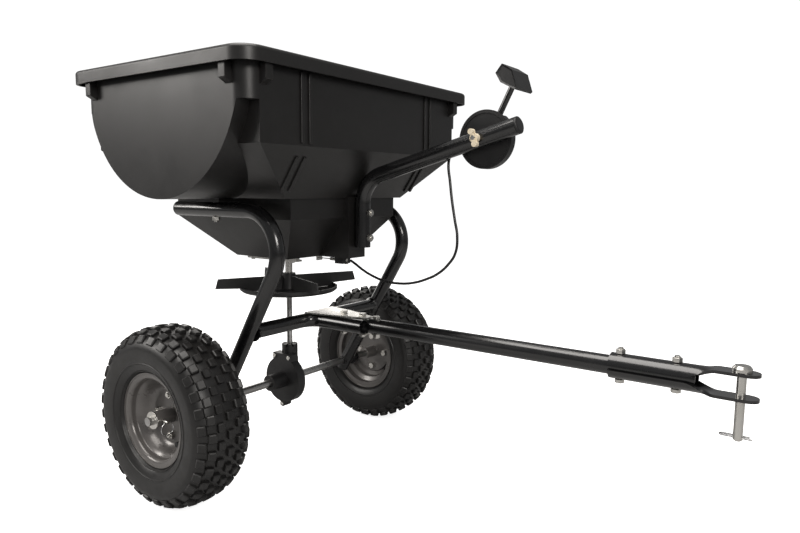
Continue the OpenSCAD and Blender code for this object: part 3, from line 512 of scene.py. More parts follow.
@dataclass
class TubeRun:
    """A bent tube, grown from one open end by straight runs and bends."""

    radius: float
    start: Vector
    heading: Vector
    sides: int = 40
    wall: float = 2.0

    def __post_init__(self) -> None:
        """Draws the tube's first ring."""
        self.heading = self.heading.normalized()
        self.first_heading = self.heading.copy()
        self.bm = bmesh.new()
        turn = self.heading.to_track_quat("Z", "Y").to_matrix().to_4x4()
        made = bmesh.ops.create_circle(
            self.bm, cap_ends=False, segments=self.sides, radius=self.radius,
            matrix=Matrix.Translation(self.start) @ turn)
        self.first = list(made["verts"])
        self.ring = list(made["verts"])
        self.at = self.start.copy()

    def ring_edges(self, ring: Sequence[bmesh.types.BMVert]) -> List[bmesh.types.BMEdge]:
        """Gives the edges that join a ring's own corners."""
        inside = set(ring)
        return list({e for v in ring for e in v.link_edges if e.other_vert(v) in inside})

    def straight(self, length: float) -> "TubeRun":
        """Draws the tube on by a straight length."""
        made = bmesh.ops.extrude_edge_only(self.bm, edges=self.ring_edges(self.ring))
        self.ring = [g for g in made["geom"] if isinstance(g, bmesh.types.BMVert)]
        bmesh.ops.translate(self.bm, vec=self.heading * length, verts=self.ring)
        self.at = self.at + self.heading * length
        return self

    def bend(self, radius: float, axis: Vector, degrees: float) -> "TubeRun":
        """Bends the tube.

        Args:
            radius: the bend's radius at the tube's middle.
            axis: the direction that it turns about, by the right-hand rule.
            degrees: how far it turns.

        Returns:
            The tube itself, for the next run.
        """
        angle = math.radians(degrees)
        centre = self.at + axis.cross(self.heading) * radius
        made = bmesh.ops.spin(
            self.bm, geom=self.ring + self.ring_edges(self.ring), cent=centre, axis=axis,
            dvec=(0, 0, 0), angle=angle, steps=max(6, int(degrees / 4)), use_merge=False,
            use_duplicate=False)
        self.ring = [g for g in made["geom_last"] if isinstance(g, bmesh.types.BMVert)]
        turn = Matrix.Rotation(angle, 3, axis)
        self.at = centre + turn @ (self.at - centre)
        self.heading = turn @ self.heading
        return self

    def closed(self, depth: float = 8.0) -> bmesh.types.BMesh:
        """Ends the tube with a flat rim as wide as its wall and a short bore at both ends.

        Args:
            depth: how deep the bore is drawn.

        Returns:
            The finished shape.
        """
        for ring, way in ((self.first, -1), (self.ring, 1)):
            cap = bmesh.ops.contextual_create(self.bm, geom=self.ring_edges(ring))["faces"]
            bmesh.ops.inset_region(self.bm, faces=cap, thickness=self.wall, depth=0.0,
                                   use_even_offset=True)
            sunk = bmesh.ops.extrude_face_region(self.bm, geom=cap)
            moved = [g for g in sunk["geom"] if isinstance(g, bmesh.types.BMVert)]
            heading = self.heading if way > 0 else self.first_heading
            bmesh.ops.delete(self.bm, geom=[f for f in cap if f.is_valid], context="FACES_ONLY")
            bmesh.ops.translate(self.bm, vec=heading * (-way * depth), verts=moved)
        bmesh.ops.recalc_face_normals(self.bm, faces=self.bm.faces)
        return self.bm


# ------------------------------------------------------------------ sub-assemblies


@dataclass
class ControlCable:
    """The sheathed cable from the dial down to the gate."""

    diameter: float = 5.0
    length_m: float = 0.48
    route: Tuple[Tuple[float, float, float], ...] = (
        (385, 37, 478.5), (378, 37, 474), (374.5, 37, 464), (374, 36, 452),
        (379, 34, 425), (386, 30, 392), (396, 25, 355), (404, 21, 326), (401, 20, 295),
        (388, 19, 275), (366, 19, 256), (340, 18, 243), (312, 17, 234), (280, 16, 230),
        (245, 15, 232), (214, 15, 240), (190, 15, 250), (174, 15, 259), (160, 15, 266))

    def build(self) -> bpy.types.Object:
        curve = bpy.data.curves.new("control_cable_jacket", "CURVE")
        curve.dimensions = "3D"
        curve.bevel_depth = self.diameter / 2 * MM
        curve.bevel_resolution = 5
        curve.resolution_u = 10
        line = curve.splines.new("BEZIER")
        line.bezier_points.add(len(self.route) - 1)
        for point, place in zip(line.bezier_points, self.route):
            point.co = spot(*place)
            point.handle_left_type = point.handle_right_type = "AUTO"
        curve.materials.append(CABLE_JACKET.build())
        cable = bpy.data.objects.new("control_cable_jacket", curve)
        bpy.context.scene.collection.objects.link(cable)
        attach(cable, Body.FRAME.value)
        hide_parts("control_cable")
        LOG.info("control_cable_jacket: %.2f m long", self.length_m)
        return cable


@dataclass
class Tyre:
    """A knobby pneumatic tyre: a turned carcass with rows of moulded blocks."""

    side: Side
    body: Body
    middle: float = 297.5
    radius: float = 165.0
    half_width: float = 57.0
    flange: float = 86.0
    belly: float = 122.0
    bead_y: float = 42.5
    tread_depth: float = 6.5
    blocks_around: int = 32
    squareness: float = 0.77

    @property
    def name(self) -> str:
        """Gives the tyre's side in plain words."""
        return self.side.name.lower()

    @property
    def centre(self) -> Vector:
        """Gives the middle of the wheel."""
        return Vector((0, self.side.value * self.middle, 0))

    def crown(self, lean: float, lower: float = 0.0) -> Tuple[float, float]:
        """Gives a point on the tyre's crown.

        Args:
            lean: degrees from the middle of the tread towards the side wall.
            lower: how far below the tops of the blocks it lies.

        Returns:
            Its distance from the axle and from the wheel's middle plane.
        """
        turn = math.radians(min(abs(lean), 89.999))
        high = math.cos(turn) ** self.squareness
        wide = math.sin(turn) ** self.squareness
        reach = self.belly + (self.radius - lower - self.belly) * high
        return reach, math.copysign((self.half_width - 0.4 * lower * high) * wide, lean)

    def wall_line(self) -> List[Tuple[float, float]]:
        """Gives the side wall's profile from the bead out, with its two moulded ridges."""
        line = []
        ridges = {24: 1.3, 27: 1.3, 58: 1.3, 61: 1.3}
        for degrees in (0, 8, 16, 22, 24, 27, 29, 36, 44, 50, 56, 58, 61, 63, 72, 82):
            turn = math.radians(degrees)
            reach = self.belly - (self.belly - self.flange - 0.6) * math.cos(turn)
            out = self.bead_y + (self.half_width - self.bead_y) * math.sin(turn)
            line.append((reach, out - 1.3 + ridges.get(degrees, 0.0)))
        return line

    def carcass(self) -> bmesh.types.BMesh:
        """Turns the tyre's body below its blocks."""
        wall = self.wall_line()
        crown = [self.crown(lean, self.tread_depth) for lean in range(84, -85, -6)]
        inside = [(self.flange + 0.3, self.bead_y - 3.7), (self.flange - 8, self.bead_y - 6)]
        outline = (inside[::-1] + wall + crown + [(r, -y) for r, y in wall[::-1]]
                   + [(r, -y) for r, y in inside])
        bm = bmesh.new()
        turned(bm, outline, self.centre, Y_AXIS, 144)
        return bm

    def block_mesh(self, around: float, across: float) -> bpy.types.Mesh:
        """Moulds one tread block, standing on its own middle.

        Args:
            around: its length around the tyre.
            across: its width across the tread.

        Returns:
            Its mesh, which the caller removes.
        """
        bm = bmesh.new()
        block(bm, (-around / 2, -across / 2, -self.tread_depth - 3), (around / 2, across / 2, 0))
        for v in bm.verts:
            if v.co.z > -1:
                v.co.x *= 0.86
                v.co.y *= 0.88
        top = [e for e in bm.edges if all(v.co.z > -1 for v in e.verts)]
        sides = [e for e in bm.edges if e not in top and any(v.co.z > -1 for v in e.verts)]
        bmesh.ops.bevel(bm, geom=top + sides, offset=1.6, offset_type="OFFSET",
                        affect="EDGES", segments=1, profile=0.5, material=-1)
        mesh = bpy.data.meshes.new("tread block")
        bm.to_mesh(mesh)
        bm.free()
        return mesh

    def add_row(self, bm: bmesh.types.BMesh, lean: float, around: float, across: float,
                phase: float) -> None:
        """Sets one row of blocks around the tyre.

        Args:
            bm: the tyre's shape.
            lean: degrees from the middle of the tread.
            around: the blocks' length around the tyre.
            across: their width along the tread's curve.
            phase: how far the row is turned, as a share of the spacing.
        """
        mesh = self.block_mesh(around, across)
        reach, out = self.crown(lean)
        near, far = self.crown(lean - 2), self.crown(lean + 2)
        along = Vector((far[0] - near[0], far[1] - near[1])).normalized()
        tangent = Vector((0, along.y, along.x))
        normal = Vector((0, -along.x, along.y))
        for k in range(self.blocks_around):
            turn = Matrix.Rotation(FULL_TURN * (k + phase) / self.blocks_around, 4, "Y")
            place = Matrix((
                (1, 0, 0, 0),
                (0, tangent.y, normal.y, out),
                (0, tangent.z, normal.z, reach),
                (0, 0, 0, 1)))
            placed = mesh.copy()
            placed.transform(Matrix.Translation(self.centre) @ turn @ place)
            bm.from_mesh(placed)
            bpy.data.meshes.remove(placed)
        bpy.data.meshes.remove(mesh)

    def build(self) -> None:
        """Makes the tyre."""
        bm = self.carcass()
        for lean, around, across, phase in (
                (0, 17, 15, 0.0), (14.5, 17, 14, 0.5), (-14.5, 17, 14, 0.5),
                (34, 18, 16, 0.0), (-34, 18, 16, 0.0), (59, 19, 17, 0.5), (-59, 19, 17, 0.5)):
            self.add_row(bm, lean, around, across, phase)
        make_piece(f"knobby_tyre_{self.name}", bm, self.body, TYRE_RUBBER,
                   [f"tyre_{self.name}"], sharp_over=32)


@dataclass
class Wheel:
    """One wheel: the tyre, the two pressed rim halves, hub, bolts and valve."""

    side: Side
    body: Body
    middle: float = 297.5
    sheet: float = 2.5
    bowl: Tuple[Tuple[float, float], ...] = (
        (14, 0), (46, 0), (51, 0.6), (55, 2.4), (58.5, 5.4), (61.5, 9.2), (63.8, 13.2),
        (65.8, 17), (68, 20.4), (70.6, 23.4), (73.2, 25.6), (75, 28.5), (75.3, 34),
        (75.6, 37.2), (77.4, 39), (81.5, 39.2), (84.4, 40), (85.7, 41.8), (85.7, 43.3))

    def rim(self) -> None:
        """Presses the outer rim half: a flat middle, a smooth bowl and a rolled flange."""
        bm = bmesh.new()
        way = Vector((0, self.side.value, 0))
        seen = []
        for (r0, y0), (r1, y1), (r2, y2) in zip(
                (self.bowl[0],) + self.bowl, self.bowl, self.bowl[1:] + (self.bowl[-1],)):
            run = Vector((r2 - r0, y2 - y0)).normalized()
            seen.append((r1 - run.y * self.sheet, y1 + run.x * self.sheet))
        outline = list(self.bowl) + seen[::-1]
        turned(bm, outline, Vector((0, self.side.value * self.middle, 0)), way, 96)
        side = self.side.name.lower()
        make_piece(f"rim_bowl_{side}", bm, self.body, RIM_ENAMEL, [f"rim_outer_{side}"],
                   sharp_over=50)

    def build(self) -> None:
        """Makes the wheel."""
        side = self.side.name.lower()
        Tyre(self.side, self.body).build()
        self.rim()
        refined(f"rim_inner_{side}", RIM_ENAMEL, 0.7, 2, 30)
        refined(f"wheel_hub_{side}", RIM_ENAMEL, 0.8)
        refined(f"rim_bolts_{side}", ZINC_PLATE, 0.6)
        refined(f"valve_stem_{side}", VALVE_RUBBER, 0.8)


@dataclass
class FrameTubes:
    """The bent legs and cross tubes that carry the machine."""

    radius: float = 14.0
    leg_y: float = 189.0
    top_z: float = 369.0
    back_x: float = -110.0
    bend_x: float = 87.7
    bend_r: float = 75.0
    foot: float = 24.0
    draw_z: float = 143.0
    cross_y: float = 20.5
    cross_bend_r: float = 32.0
    cross_end_x: float = 222.0

    def lean(self) -> float:
        """Gives the lower run's lean from upright, in degrees, so that it meets the axle."""
        high = self.top_z - self.bend_r
        return math.degrees(math.atan2(self.bend_x, high)
                            + math.asin(self.bend_r / math.hypot(self.bend_x, high)))

    def leg(self, side: Side) -> None:
        """Bends one leg."""
        start = Vector((self.back_x, side.value * self.leg_y, self.top_z))
        run = math.sqrt(self.bend_x ** 2 + (self.top_z - self.bend_r) ** 2 - self.bend_r ** 2)
        tube = TubeRun(self.radius, start, X_AXIS).straight(self.bend_x - self.back_x)
        tube.bend(self.bend_r, Y_AXIS, 90 + self.lean()).straight(run + self.foot)
        name = side.name.lower()
        make_piece(f"leg_tube_{name}", tube.closed(), Body.FRAME, POWDER_COAT,
                   [f"frame_leg_{name}"])

    def cross_tube(self, side: Side) -> None:
        """Bends one cross tube from its leg to the drawbar."""
        cross_x = self.draw_z * math.tan(math.radians(self.lean()))
        inside = self.leg_y - self.radius + 2
        bend_y = self.cross_y + self.cross_bend_r
        start = Vector((cross_x, side.value * inside, self.draw_z))
        tube = TubeRun(self.radius, start, -side.value * Y_AXIS).straight(inside - bend_y)
        tube.bend(self.cross_bend_r, side.value * Z_AXIS, 90)
        tube.straight(self.cross_end_x - cross_x - self.cross_bend_r)
        name = side.name.lower()
        make_piece(f"cross_tube_welded_{name}", tube.closed(), Body.FRAME, POWDER_COAT,
                   [f"cross_tube_{name}"])
        self.weld(side, cross_x)

    def weld(self, side: Side, cross_x: float) -> None:
        """Lays the weld bead where the cross tube meets the leg."""
        bm = bmesh.new()
        foot = Vector((cross_x, side.value * (self.leg_y - self.radius + 3), self.draw_z))
        inward = -side.value * Y_AXIS
        profile = [(self.radius - 1, 0), (self.radius + 4.5, 0), (self.radius + 3.8, 2.2),
                   (self.radius + 1.6, 4.4), (self.radius + 0.2, 8), (self.radius - 1, 8)]
        turned(bm, profile, foot, inward, 48)
        make_piece(f"weld_bead_{side.name.lower()}", bm, Body.FRAME, POWDER_COAT)

    def build(self) -> None:
        """Makes all the frame's tubes and what bolts to them."""
        for side in Side:
            self.leg(side)
            self.cross_tube(side)
        refined("tube_plugs", MOULDED_NYLON, 0.8)
        refined("hitch_plates", ZINC_PLATE, 0.5)
        refined("drawbar_tongue", ZINC_PLATE, 0.8)
        refined("axle_bushes", MOULDED_NYLON, 0.6)
        refined("frame_bolts", ZINC_PLATE, 0.7)
        refined("frame_nuts", ZINC_PLATE, 0.6)


@dataclass
class Hitch:
    """The drawbar with its two straps, the pin and its clip."""

    radius: float = 15.0
    start_x: float = 224.0
    end_x: float = 820.0
    height: float = 143.0
    strap_length: float = 124.0
    strap_t: float = 4.6
    strap_reach: float = 17.7
    ear_half: float = 15.0
    ear_end: float = 81.0
    wrap: float = 78.0

    def strap_place(self, share: float, x: float) -> Tuple[float, float]:
        """Gives where a strap's middle surface lies beside the drawbar's middle line.

        Args:
            share: from -1 at one long edge to 1 at the other.
            x: the place along the drawbar.

        Returns:
            How far across and how far up it lies.
        """
        blend = min(max((x - self.end_x + 14) / 40, 0.0), 1.0)
        blend = blend * blend * (3 - 2 * blend)
        turn = math.radians(self.wrap) * share
        tip = self.end_x + self.ear_end
        past = max(x - (tip - self.ear_half), 0.0)
        half = math.sqrt(max(self.ear_half ** 2 - past ** 2, 0.0))
        across = (1 - blend) * self.strap_reach * math.sin(turn) + blend * share * half
        up = self.strap_reach * ((1 - blend) * math.cos(turn) + blend)
        return across, up

    def strap(self, name: str, way: int) -> None:
        """Forms one strap: a saddle on the tube that runs out to a flat, rounded ear.

        Args:
            name: which strap it is.
            way: 1 for the strap above the tube and -1 for the one below.
        """
        tip = self.end_x + self.ear_end
        back = self.end_x - self.strap_length
        bm = bmesh.new()
        bmesh.ops.create_grid(bm, x_segments=64, y_segments=20, size=1.0)
        for v in bm.verts:
            along = (v.co.x + 1) / 2
            x = back + (tip - 0.05 - back) * math.sin(along * math.pi / 2)
            across, up = self.strap_place(v.co.y, x)
            v.co = Vector((x, across, self.height + way * up))
        bmesh.ops.remove_doubles(bm, verts=bm.verts, dist=0.02)
        bmesh.ops.recalc_face_normals(bm, faces=bm.faces)
        piece = make_piece(f"hitch_saddle_{name}", bm, Body.FRAME, POWDER_COAT,
                           [f"hitch_strap_{name}"], even=False)
        wall = piece.modifiers.new("sheet", "SOLIDIFY")
        wall.thickness = self.strap_t * MM
        wall.offset = 0.0
        edge = piece.modifiers.new("rolled edges", "BEVEL")
        edge.width = 0.9 * MM
        edge.segments = 2
        edge.angle_limit = math.radians(50)
        shading = piece.modifiers.new("even shading", "WEIGHTED_NORMAL")
        shading.keep_sharp = True

    def build(self) -> None:
        """Makes the drawbar and the hitch."""
        start = Vector((self.start_x, 0, self.height))
        tube = TubeRun(self.radius, start, X_AXIS).straight(self.end_x - self.start_x)
        make_piece("drawbar_tube", tube.closed(), Body.FRAME, POWDER_COAT, ["drawbar"])
        self.strap("upper", 1)
        self.strap("lower", -1)
        refined("hitch_pin", ZINC_PLATE, 0.8)
        refined("hitch_clip", SPRING_STEEL, 0.0)


@dataclass
class Controls:
    """The control arm with its dial, lever, grip and lock nut."""

    arm_radius: float = 15.0
    arm_y: float = 15.0
    foot_x: float = 191.5
    foot_z: float = 295.0
    slope: float = 15.5
    bend_r: float = 60.0
    pivot_x: float = 450.0
    pivot_z: float = 497.0
    past_pivot: float = 72.0
    lever_y: float = 42.0
    lever_lean: float = 27.0
    lever_length: float = 104.0
    stem_radius: float = 5.4
    hub_radius: float = 12.0
    plate: float = 4.0
    crank_angle: float = 235.0
    crank_half: float = 7.0
    slot_from: float = 16.1
    slot_half: float = 2.6
    crank_reach: float = 30.5
    ridge_in: float = 3.5
    ridge_w: float = 3.0
    ridge_h: float = 1.1

    def arm(self) -> None:
        """Bends the control arm."""
        slope = math.radians(self.slope)
        bend_top_x = self.foot_x + self.bend_r * (1 - math.sin(slope))
        bend_top_z = self.pivot_z - (self.pivot_x - bend_top_x) * math.tan(slope)
        upright = bend_top_z - self.bend_r * math.cos(slope) - self.foot_z
        run = (self.pivot_x - bend_top_x) / math.cos(slope) + self.past_pivot
        tube = TubeRun(self.arm_radius, Vector((self.foot_x, self.arm_y, self.foot_z)), Z_AXIS)
        tube.straight(upright).bend(self.bend_r, Y_AXIS, 90 - self.slope).straight(run)
        make_piece("control_arm_tube", tube.closed(), Body.FRAME, POWDER_COAT, ["control_arm"])

    def lever(self) -> None:
        """Makes the lever: hub, round stem and slotted crank."""
        bm = bmesh.new()
        pivot = Vector((self.pivot_x, self.lever_y, self.pivot_z))
        half = Y_AXIS * self.plate / 2
        bar(bm, pivot - half, pivot + half, self.hub_radius, 48)
        lean = math.radians(self.lever_lean)
        up = Vector((math.sin(lean), 0, math.cos(lean)))
        bar(bm, pivot + up * self.hub_radius * 0.7, pivot + up * self.lever_length,
            self.stem_radius, 32)
        turn = math.radians(self.crank_angle)
        out = Vector((math.cos(turn), 0, math.sin(turn)))
        across = Vector((-out.z, 0, out.x))
        for low, high, start, end in (
                (-self.crank_half, self.crank_half, self.hub_radius * 0.6, self.slot_from),
                (-self.crank_half, -self.slot_half, self.slot_from - 1, self.crank_reach),
                (self.slot_half, self.crank_half, self.slot_from - 1, self.crank_reach),
                (-self.crank_half, self.crank_half, self.crank_reach - 5, self.crank_reach)):
            outline = [pivot - half + out * s + across * t for s, t in (
                (start, low), (end, low), (end, high), (start, high))]
            prism(bm, outline, 2 * half)
        round_edges(bm, 0.5)
        make_piece("lever_stem", bm, Body.LEVER, POWDER_COAT, ["lever"])

    def grip(self) -> None:
        """Moulds the grip, with a sunk panel in each of its two ends."""
        bm = cad_mesh("lever_grip")
        low = min(v.co.y for v in bm.verts)
        high = max(v.co.y for v in bm.verts)
        ends = [f for f in bm.faces if abs(f.normal.y) > 0.99
                and min(abs(f.calc_center_median().y - y) for y in (low, high)) < 0.1 * MM]
        for end in ends:
            bmesh.ops.inset_region(bm, faces=[end], thickness=2.6 * MM, depth=-2.2 * MM,
                                   use_even_offset=True)
        round_edges(bm, 0.9 * MM, 2)
        make_piece("finished_lever_grip", bm, Body.LEVER, MOULDED_NYLON, ["lever_grip"],
                   in_mm=False)

    def dial_ridge(self) -> None:
        """Raises the moulded ridge near the dial's rim, on its plain side."""
        low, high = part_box("dial")
        radius = (high.x - low.x) / 2 / MM
        face = (low.y - AXLE.y) / MM
        centre = Vector((self.pivot_x, face, self.pivot_z))
        outer = radius - self.ridge_in
        inner = outer - self.ridge_w
        bm = bmesh.new()
        turned(bm, [(inner, -0.3), (inner + 0.5, self.ridge_h), (outer - 0.5, self.ridge_h),
                    (outer, -0.3)], centre, -Y_AXIS, 96)
        make_piece("dial_ridge", bm, Body.FRAME, MOULDED_NYLON)

    def build(self) -> None:
        """Makes the controls."""
        self.dial_ridge()
        self.arm()
        self.lever()
        self.grip()
        refined("dial", MOULDED_NYLON, 0.9)
        refined("pivot_bolt", ZINC_PLATE, 0.6)
        refined("wing_nut", IVORY_ACETAL, 1.6, 3)
        refined("lever_wire", SPRING_STEEL, 0.0)
        refined("cable_ferrules", ZINC_PLATE, 0.4)


@dataclass
class Hopper:
    """The hopper shell with its rolled lip, stiffening ribs and gussets under the lip."""

    front_x: float = 229.0
    back_x: float = -220.0
    side_y: float = 313.0
    top_z: float = 623.0
    lip_low_z: float = 599.0
    lip_out: float = 20.0
    lip_round: float = 6.5
    rib_y: float = 183.5
    rib_pitch: float = 19.0
    rib_half: float = 3.5
    rib_out: float = 3.5
    rib_low_z: float = 484.0
    slant_from: Tuple[float, float] = (217.3, 463.0)
    slant_to: Tuple[float, float] = (177.6, 405.0)
    gusset_w: float = 16.0
    gusset_h: float = 32.0
    gusset_from_corner: float = 37.0

    def shell(self) -> None:
        """Rolls the lip's upper edge and softens every other edge of the shell."""
        bm = cad_mesh("hopper")
        top = spot(0, 0, self.top_z).z
        edge = self.lip_out / 4
        low = spot(self.back_x - edge, -self.side_y - edge, 0)
        high = spot(self.front_x + edge, self.side_y + edge, 0)
        outer = [e for e in bm.edges if e.is_manifold and e.calc_face_angle(0) > 0.6
                 and all(v.co.z > top - 0.1 * MM for v in e.verts)
                 and all(v.co.x < low.x or v.co.x > high.x or v.co.y < low.y
                         or v.co.y > high.y for v in e.verts)]
        rolled = bmesh.ops.bevel(
            bm, geom=outer, offset=self.lip_round * MM, offset_type="OFFSET", affect="EDGES",
            segments=5, profile=0.5, material=-1, clamp_overlap=False)
        fresh = {e for f in rolled["faces"] for e in f.edges}
        least = math.radians(24)
        rest = [e for e in bm.edges if e not in fresh and e.is_manifold
                and e.calc_face_angle(0) > least]
        bmesh.ops.bevel(bm, geom=rest, offset=2.6 * MM, offset_type="OFFSET", affect="EDGES",
                        segments=3, profile=0.5, material=-1, clamp_overlap=True)
        make_piece("hopper_shell", bm, Body.FRAME, HOPPER_PLASTIC, ["hopper"], sharp_over=50,
                   in_mm=False)

    def ribs(self) -> None:
        """Moulds the pairs of beads down the front wall and on the slope below it."""
        bm = bmesh.new()
        slope = Vector((self.slant_from[0] - self.slant_to[0], 0,
                        self.slant_from[1] - self.slant_to[1])).normalized()
        out = Vector((slope.z, 0, -slope.x))
        upper = Vector((self.slant_from[0], 0, self.slant_from[1]))
        lower = Vector((self.slant_to[0], 0, self.slant_to[1]))
        for side in Side:
            for step in (-0.5, 0.5):
                y = side.value * self.rib_y + step * self.rib_pitch
                block(bm, (self.front_x - 1, y - self.rib_half, self.rib_low_z),
                      (self.front_x + self.rib_out, y + self.rib_half, self.lip_low_z + 1))
                near = Vector((0, y - self.rib_half, 0))
                prism(bm, [near + p for p in (
                    upper - out, upper + out * self.rib_out, lower + out * self.rib_out,
                    lower - out)], Vector((0, 2 * self.rib_half, 0)))
        round_edges(bm, 1.6, 3)
        make_piece("hopper_ribs", bm, Body.FRAME, HOPPER_PLASTIC)

    def gusset(self, bm: bmesh.types.BMesh, foot: Vector, out: Vector, along: Vector) -> None:
        """Adds one gusset, which is shorter at the lip's edge than at the wall.

        Args:
            bm: the shape that gets it.
            foot: where it starts on the wall, at height zero.
            out: which way the lip stands out from the wall.
            along: how wide it is and which way.
        """
        high = Z_AXIS * (self.lip_low_z + 1)
        drop = Z_AXIS * self.gusset_h
        edge = foot + out * (self.lip_out - 5)
        prism(bm, [foot + high, edge + high, edge + high - 0.75 * drop, foot + high - drop],
              along)

    def gussets(self) -> None:
        """Moulds the small gussets under the lip on both sides of each corner."""
        bm = bmesh.new()
        for side in Side:
            corner_y = side.value * self.side_y
            y = corner_y - side.value * self.gusset_from_corner
            for front in (-1, 1):
                wall_x = self.front_x if front > 0 else self.back_x
                x = wall_x - front * self.gusset_from_corner
                out = side.value * Y_AXIS
                self.gusset(bm, Vector((x - self.gusset_w / 2, corner_y, 0)) - out, out,
                            self.gusset_w * X_AXIS)
                out = front * X_AXIS
                self.gusset(bm, Vector((wall_x, y - self.gusset_w / 2, 0)) - out, out,
                            self.gusset_w * Y_AXIS)
        round_edges(bm, 1.5, 2)
        make_piece("hopper_gussets", bm, Body.FRAME, HOPPER_PLASTIC)

    def build(self) -> None:
        """Makes the hopper and the gate below it."""
        self.shell()
        self.ribs()
        self.gussets()
        refined("shaft_bush", MOULDED_NYLON, 0.6)
        refined("gate_guides", ZINC_PLATE, 0.5)
        refined("gate_screws", ZINC_PLATE, 0.4)
        refined("shutter_plate", ZINC_PLATE, 0.3)
        refined("gate_wire", SPRING_STEEL, 0.0)
        refined("cable_clamp", MOULDED_NYLON, 0.8)


@dataclass
class Drive:
    """The axle, the gearbox and the spinner that they turn."""

    def build(self) -> None:
        """Makes the drive."""
        refined("axle", AXLE_STEEL, 1.2, 3)
        refined("axle_collars", POWDER_COAT, 0.8)
        refined("axle_washers", ZINC_PLATE, 0.5)
        refined("drive_pin", ZINC_PLATE, 0.7)
        refined("pin_ring", SPRING_STEEL, 0.0)
        refined("cotter_pin", SPRING_STEEL, 0.0)
        refined("gearbox_half_right", MOULDED_NYLON, 1.1)
        refined("gearbox_half_left", MOULDED_NYLON, 1.1)
        refined("gearbox_screws", ZINC_PLATE, 0.5)
        refined("spinner_shaft", AXLE_STEEL, 0.6)
        refined("shaft_sleeve", ZINC_PLATE, 0.5)
        refined("spinner_disc", MOULDED_NYLON, 0.9)
        for node in ("agitator", "spinner_pins", "gear_pin", "pinion"):
            dress(node, SPRING_STEEL)
        dress("crown_gear", IVORY_ACETAL)


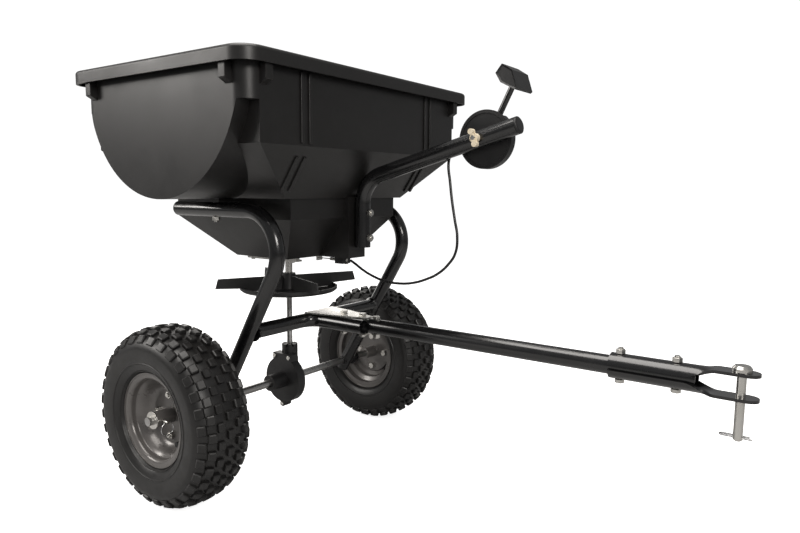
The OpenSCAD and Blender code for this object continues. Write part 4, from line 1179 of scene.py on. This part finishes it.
@dataclass
class Studio:
    """A pale floor, soft lights and the camera."""

    place: Vector = field(default_factory=lambda: spot(1003.121, -992.887, 411.198))
    yaw: float = 125.57
    pitch: float = 6.82
    roll: float = 0.458
    lens: float = 29.40
    sensor: float = 36.0
    warmth: Tuple[float, float, float] = (1.0, 0.965, 0.925)

    def camera(self) -> None:
        """Sets the camera at eye level, a little ahead of the right-hand wheel."""
        data = bpy.data.cameras.new("camera")
        data.lens = self.lens
        data.sensor_width = self.sensor
        data.clip_start = 0.02
        data.clip_end = 60
        yaw, pitch, roll = (math.radians(a) for a in (self.yaw, self.pitch, self.roll))
        ahead = Vector((math.cos(yaw) * math.cos(pitch), math.sin(yaw) * math.cos(pitch),
                        -math.sin(pitch)))
        right = Vector((math.sin(yaw), -math.cos(yaw), 0))
        up = right.cross(ahead)
        tilted = right * math.cos(roll) + up * math.sin(roll)
        upright = up * math.cos(roll) - right * math.sin(roll)
        turn = Matrix((tilted, upright, -ahead)).transposed().to_4x4()
        camera = bpy.data.objects.new("camera", data)
        camera.matrix_world = Matrix.Translation(self.place) @ turn
        bpy.context.scene.collection.objects.link(camera)
        bpy.context.scene.camera = camera

    def floor(self) -> None:
        """Lays the pale floor, which is dimmer in reflections than it looks."""
        bm = bmesh.new()
        bmesh.ops.create_grid(bm, x_segments=4, y_segments=4, size=14)
        mesh = bpy.data.meshes.new("studio_floor")
        bm.to_mesh(mesh)
        bm.free()
        material = bpy.data.materials.new("matt_white_floor")
        material.use_nodes = True
        tree = material.node_tree
        tree.nodes.clear()
        lit = add_node(tree, "ShaderNodeBsdfPrincipled", {
            "Base Color": (0.9, 0.9, 0.9, 1), "Roughness": 0.9, "Specular IOR Level": 0.1,
            "Emission Color": (1, 1, 1, 1), "Emission Strength": 0.84}, {})
        dim = add_node(tree, "ShaderNodeBsdfDiffuse", {"Color": (0.42, 0.42, 0.42, 1)}, {})
        seen = add_node(tree, "ShaderNodeLightPath", {}, {})
        both = add_node(tree, "ShaderNodeMixShader", {}, {
            0: seen.outputs["Is Camera Ray"], 1: dim.outputs["BSDF"], 2: lit.outputs["BSDF"]})
        add_node(tree, "ShaderNodeOutputMaterial", {}, {"Surface": both.outputs["Shader"]})
        mesh.materials.append(material)
        floor = bpy.data.objects.new("studio_floor", mesh)
        bpy.context.scene.collection.objects.link(floor)
        floor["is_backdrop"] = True

    def light(self, name: str, place: Sequence[float], target: Sequence[float], size: float,
              watts: float) -> None:
        """Hangs one soft light.

        Args:
            name: its name.
            place: where it hangs.
            target: the point that it faces.
            size: its width and height.
            watts: its power.
        """
        data = bpy.data.lights.new(name, "AREA")
        data.shape = "SQUARE"
        data.size = size
        data.color = self.warmth
        data.energy = watts
        lamp = bpy.data.objects.new(name, data)
        lamp.location = place
        lamp.rotation_euler = (Vector(target) - Vector(place)).to_track_quat(
            "-Z", "Y").to_euler()
        bpy.context.scene.collection.objects.link(lamp)

    def sky(self) -> None:
        """Fills the studio with white, dimmer in reflections than behind the object."""
        world = bpy.data.worlds.new("white studio")
        bpy.context.scene.world = world
        world.use_nodes = True
        tree = world.node_tree
        tree.nodes.clear()
        seen = add_node(tree, "ShaderNodeLightPath", {}, {})
        dim = add_node(tree, "ShaderNodeBackground", {"Color": (1, 1, 1, 1), "Strength": 0.28}, {})
        white = add_node(tree, "ShaderNodeBackground", {"Color": (1, 1, 1, 1),
                                                        "Strength": 1.05}, {})
        both = add_node(tree, "ShaderNodeMixShader", {}, {
            0: seen.outputs["Is Camera Ray"], 1: dim.outputs["Background"],
            2: white.outputs["Background"]})
        add_node(tree, "ShaderNodeOutputWorld", {}, {"Surface": both.outputs["Shader"]})

    def build(self) -> None:
        """Sets the studio up."""
        self.camera()
        self.floor()
        self.sky()
        self.light("overhead softbox", (-0.2, -0.4, 2.4), (-0.1, 0, 0.3), 1.8, 64)
        self.light("front softbox", (2.3, -1.5, 1.7), (0, 0, 0.4), 0.9, 40)
        self.light("left softbox", (-2.2, -1.8, 1.6), (-0.3, 0, 0.4), 1.0, 32)
        self.light("rear softbox", (-2.6, 1.6, 1.3), (-0.2, 0, 0.4), 2.0, 22)
        bpy.context.scene.view_settings.view_transform = "Standard"


def save_size() -> None:
    """Warns of each shown piece whose corners stand more than 2 mm outside the CAD model's box."""
    low, high = CAD_BOX
    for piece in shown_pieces():
        for corner in piece.bound_box:
            point = piece.matrix_world @ Vector(corner)
            if any(p < a - 0.002 or p > b + 0.002 for p, a, b in zip(point, low, high)):
                LOG.warning("%s stands outside the CAD box at %s", piece.name, point)


def main() -> None:
    """Builds the studio and then each sub-assembly in turn."""
    logging.basicConfig(level=logging.INFO, format="%(name)s: %(message)s")
    Studio().build()
    ControlCable().build()
    Wheel(Side.RIGHT, Body.DRIVE_AXLE).build()
    Wheel(Side.LEFT, Body.FREE_WHEEL).build()
    FrameTubes().build()
    Hitch().build()
    Controls().build()
    Hopper().build()
    Drive().build()
    save_size()


if __name__ == "__main__":
    main()
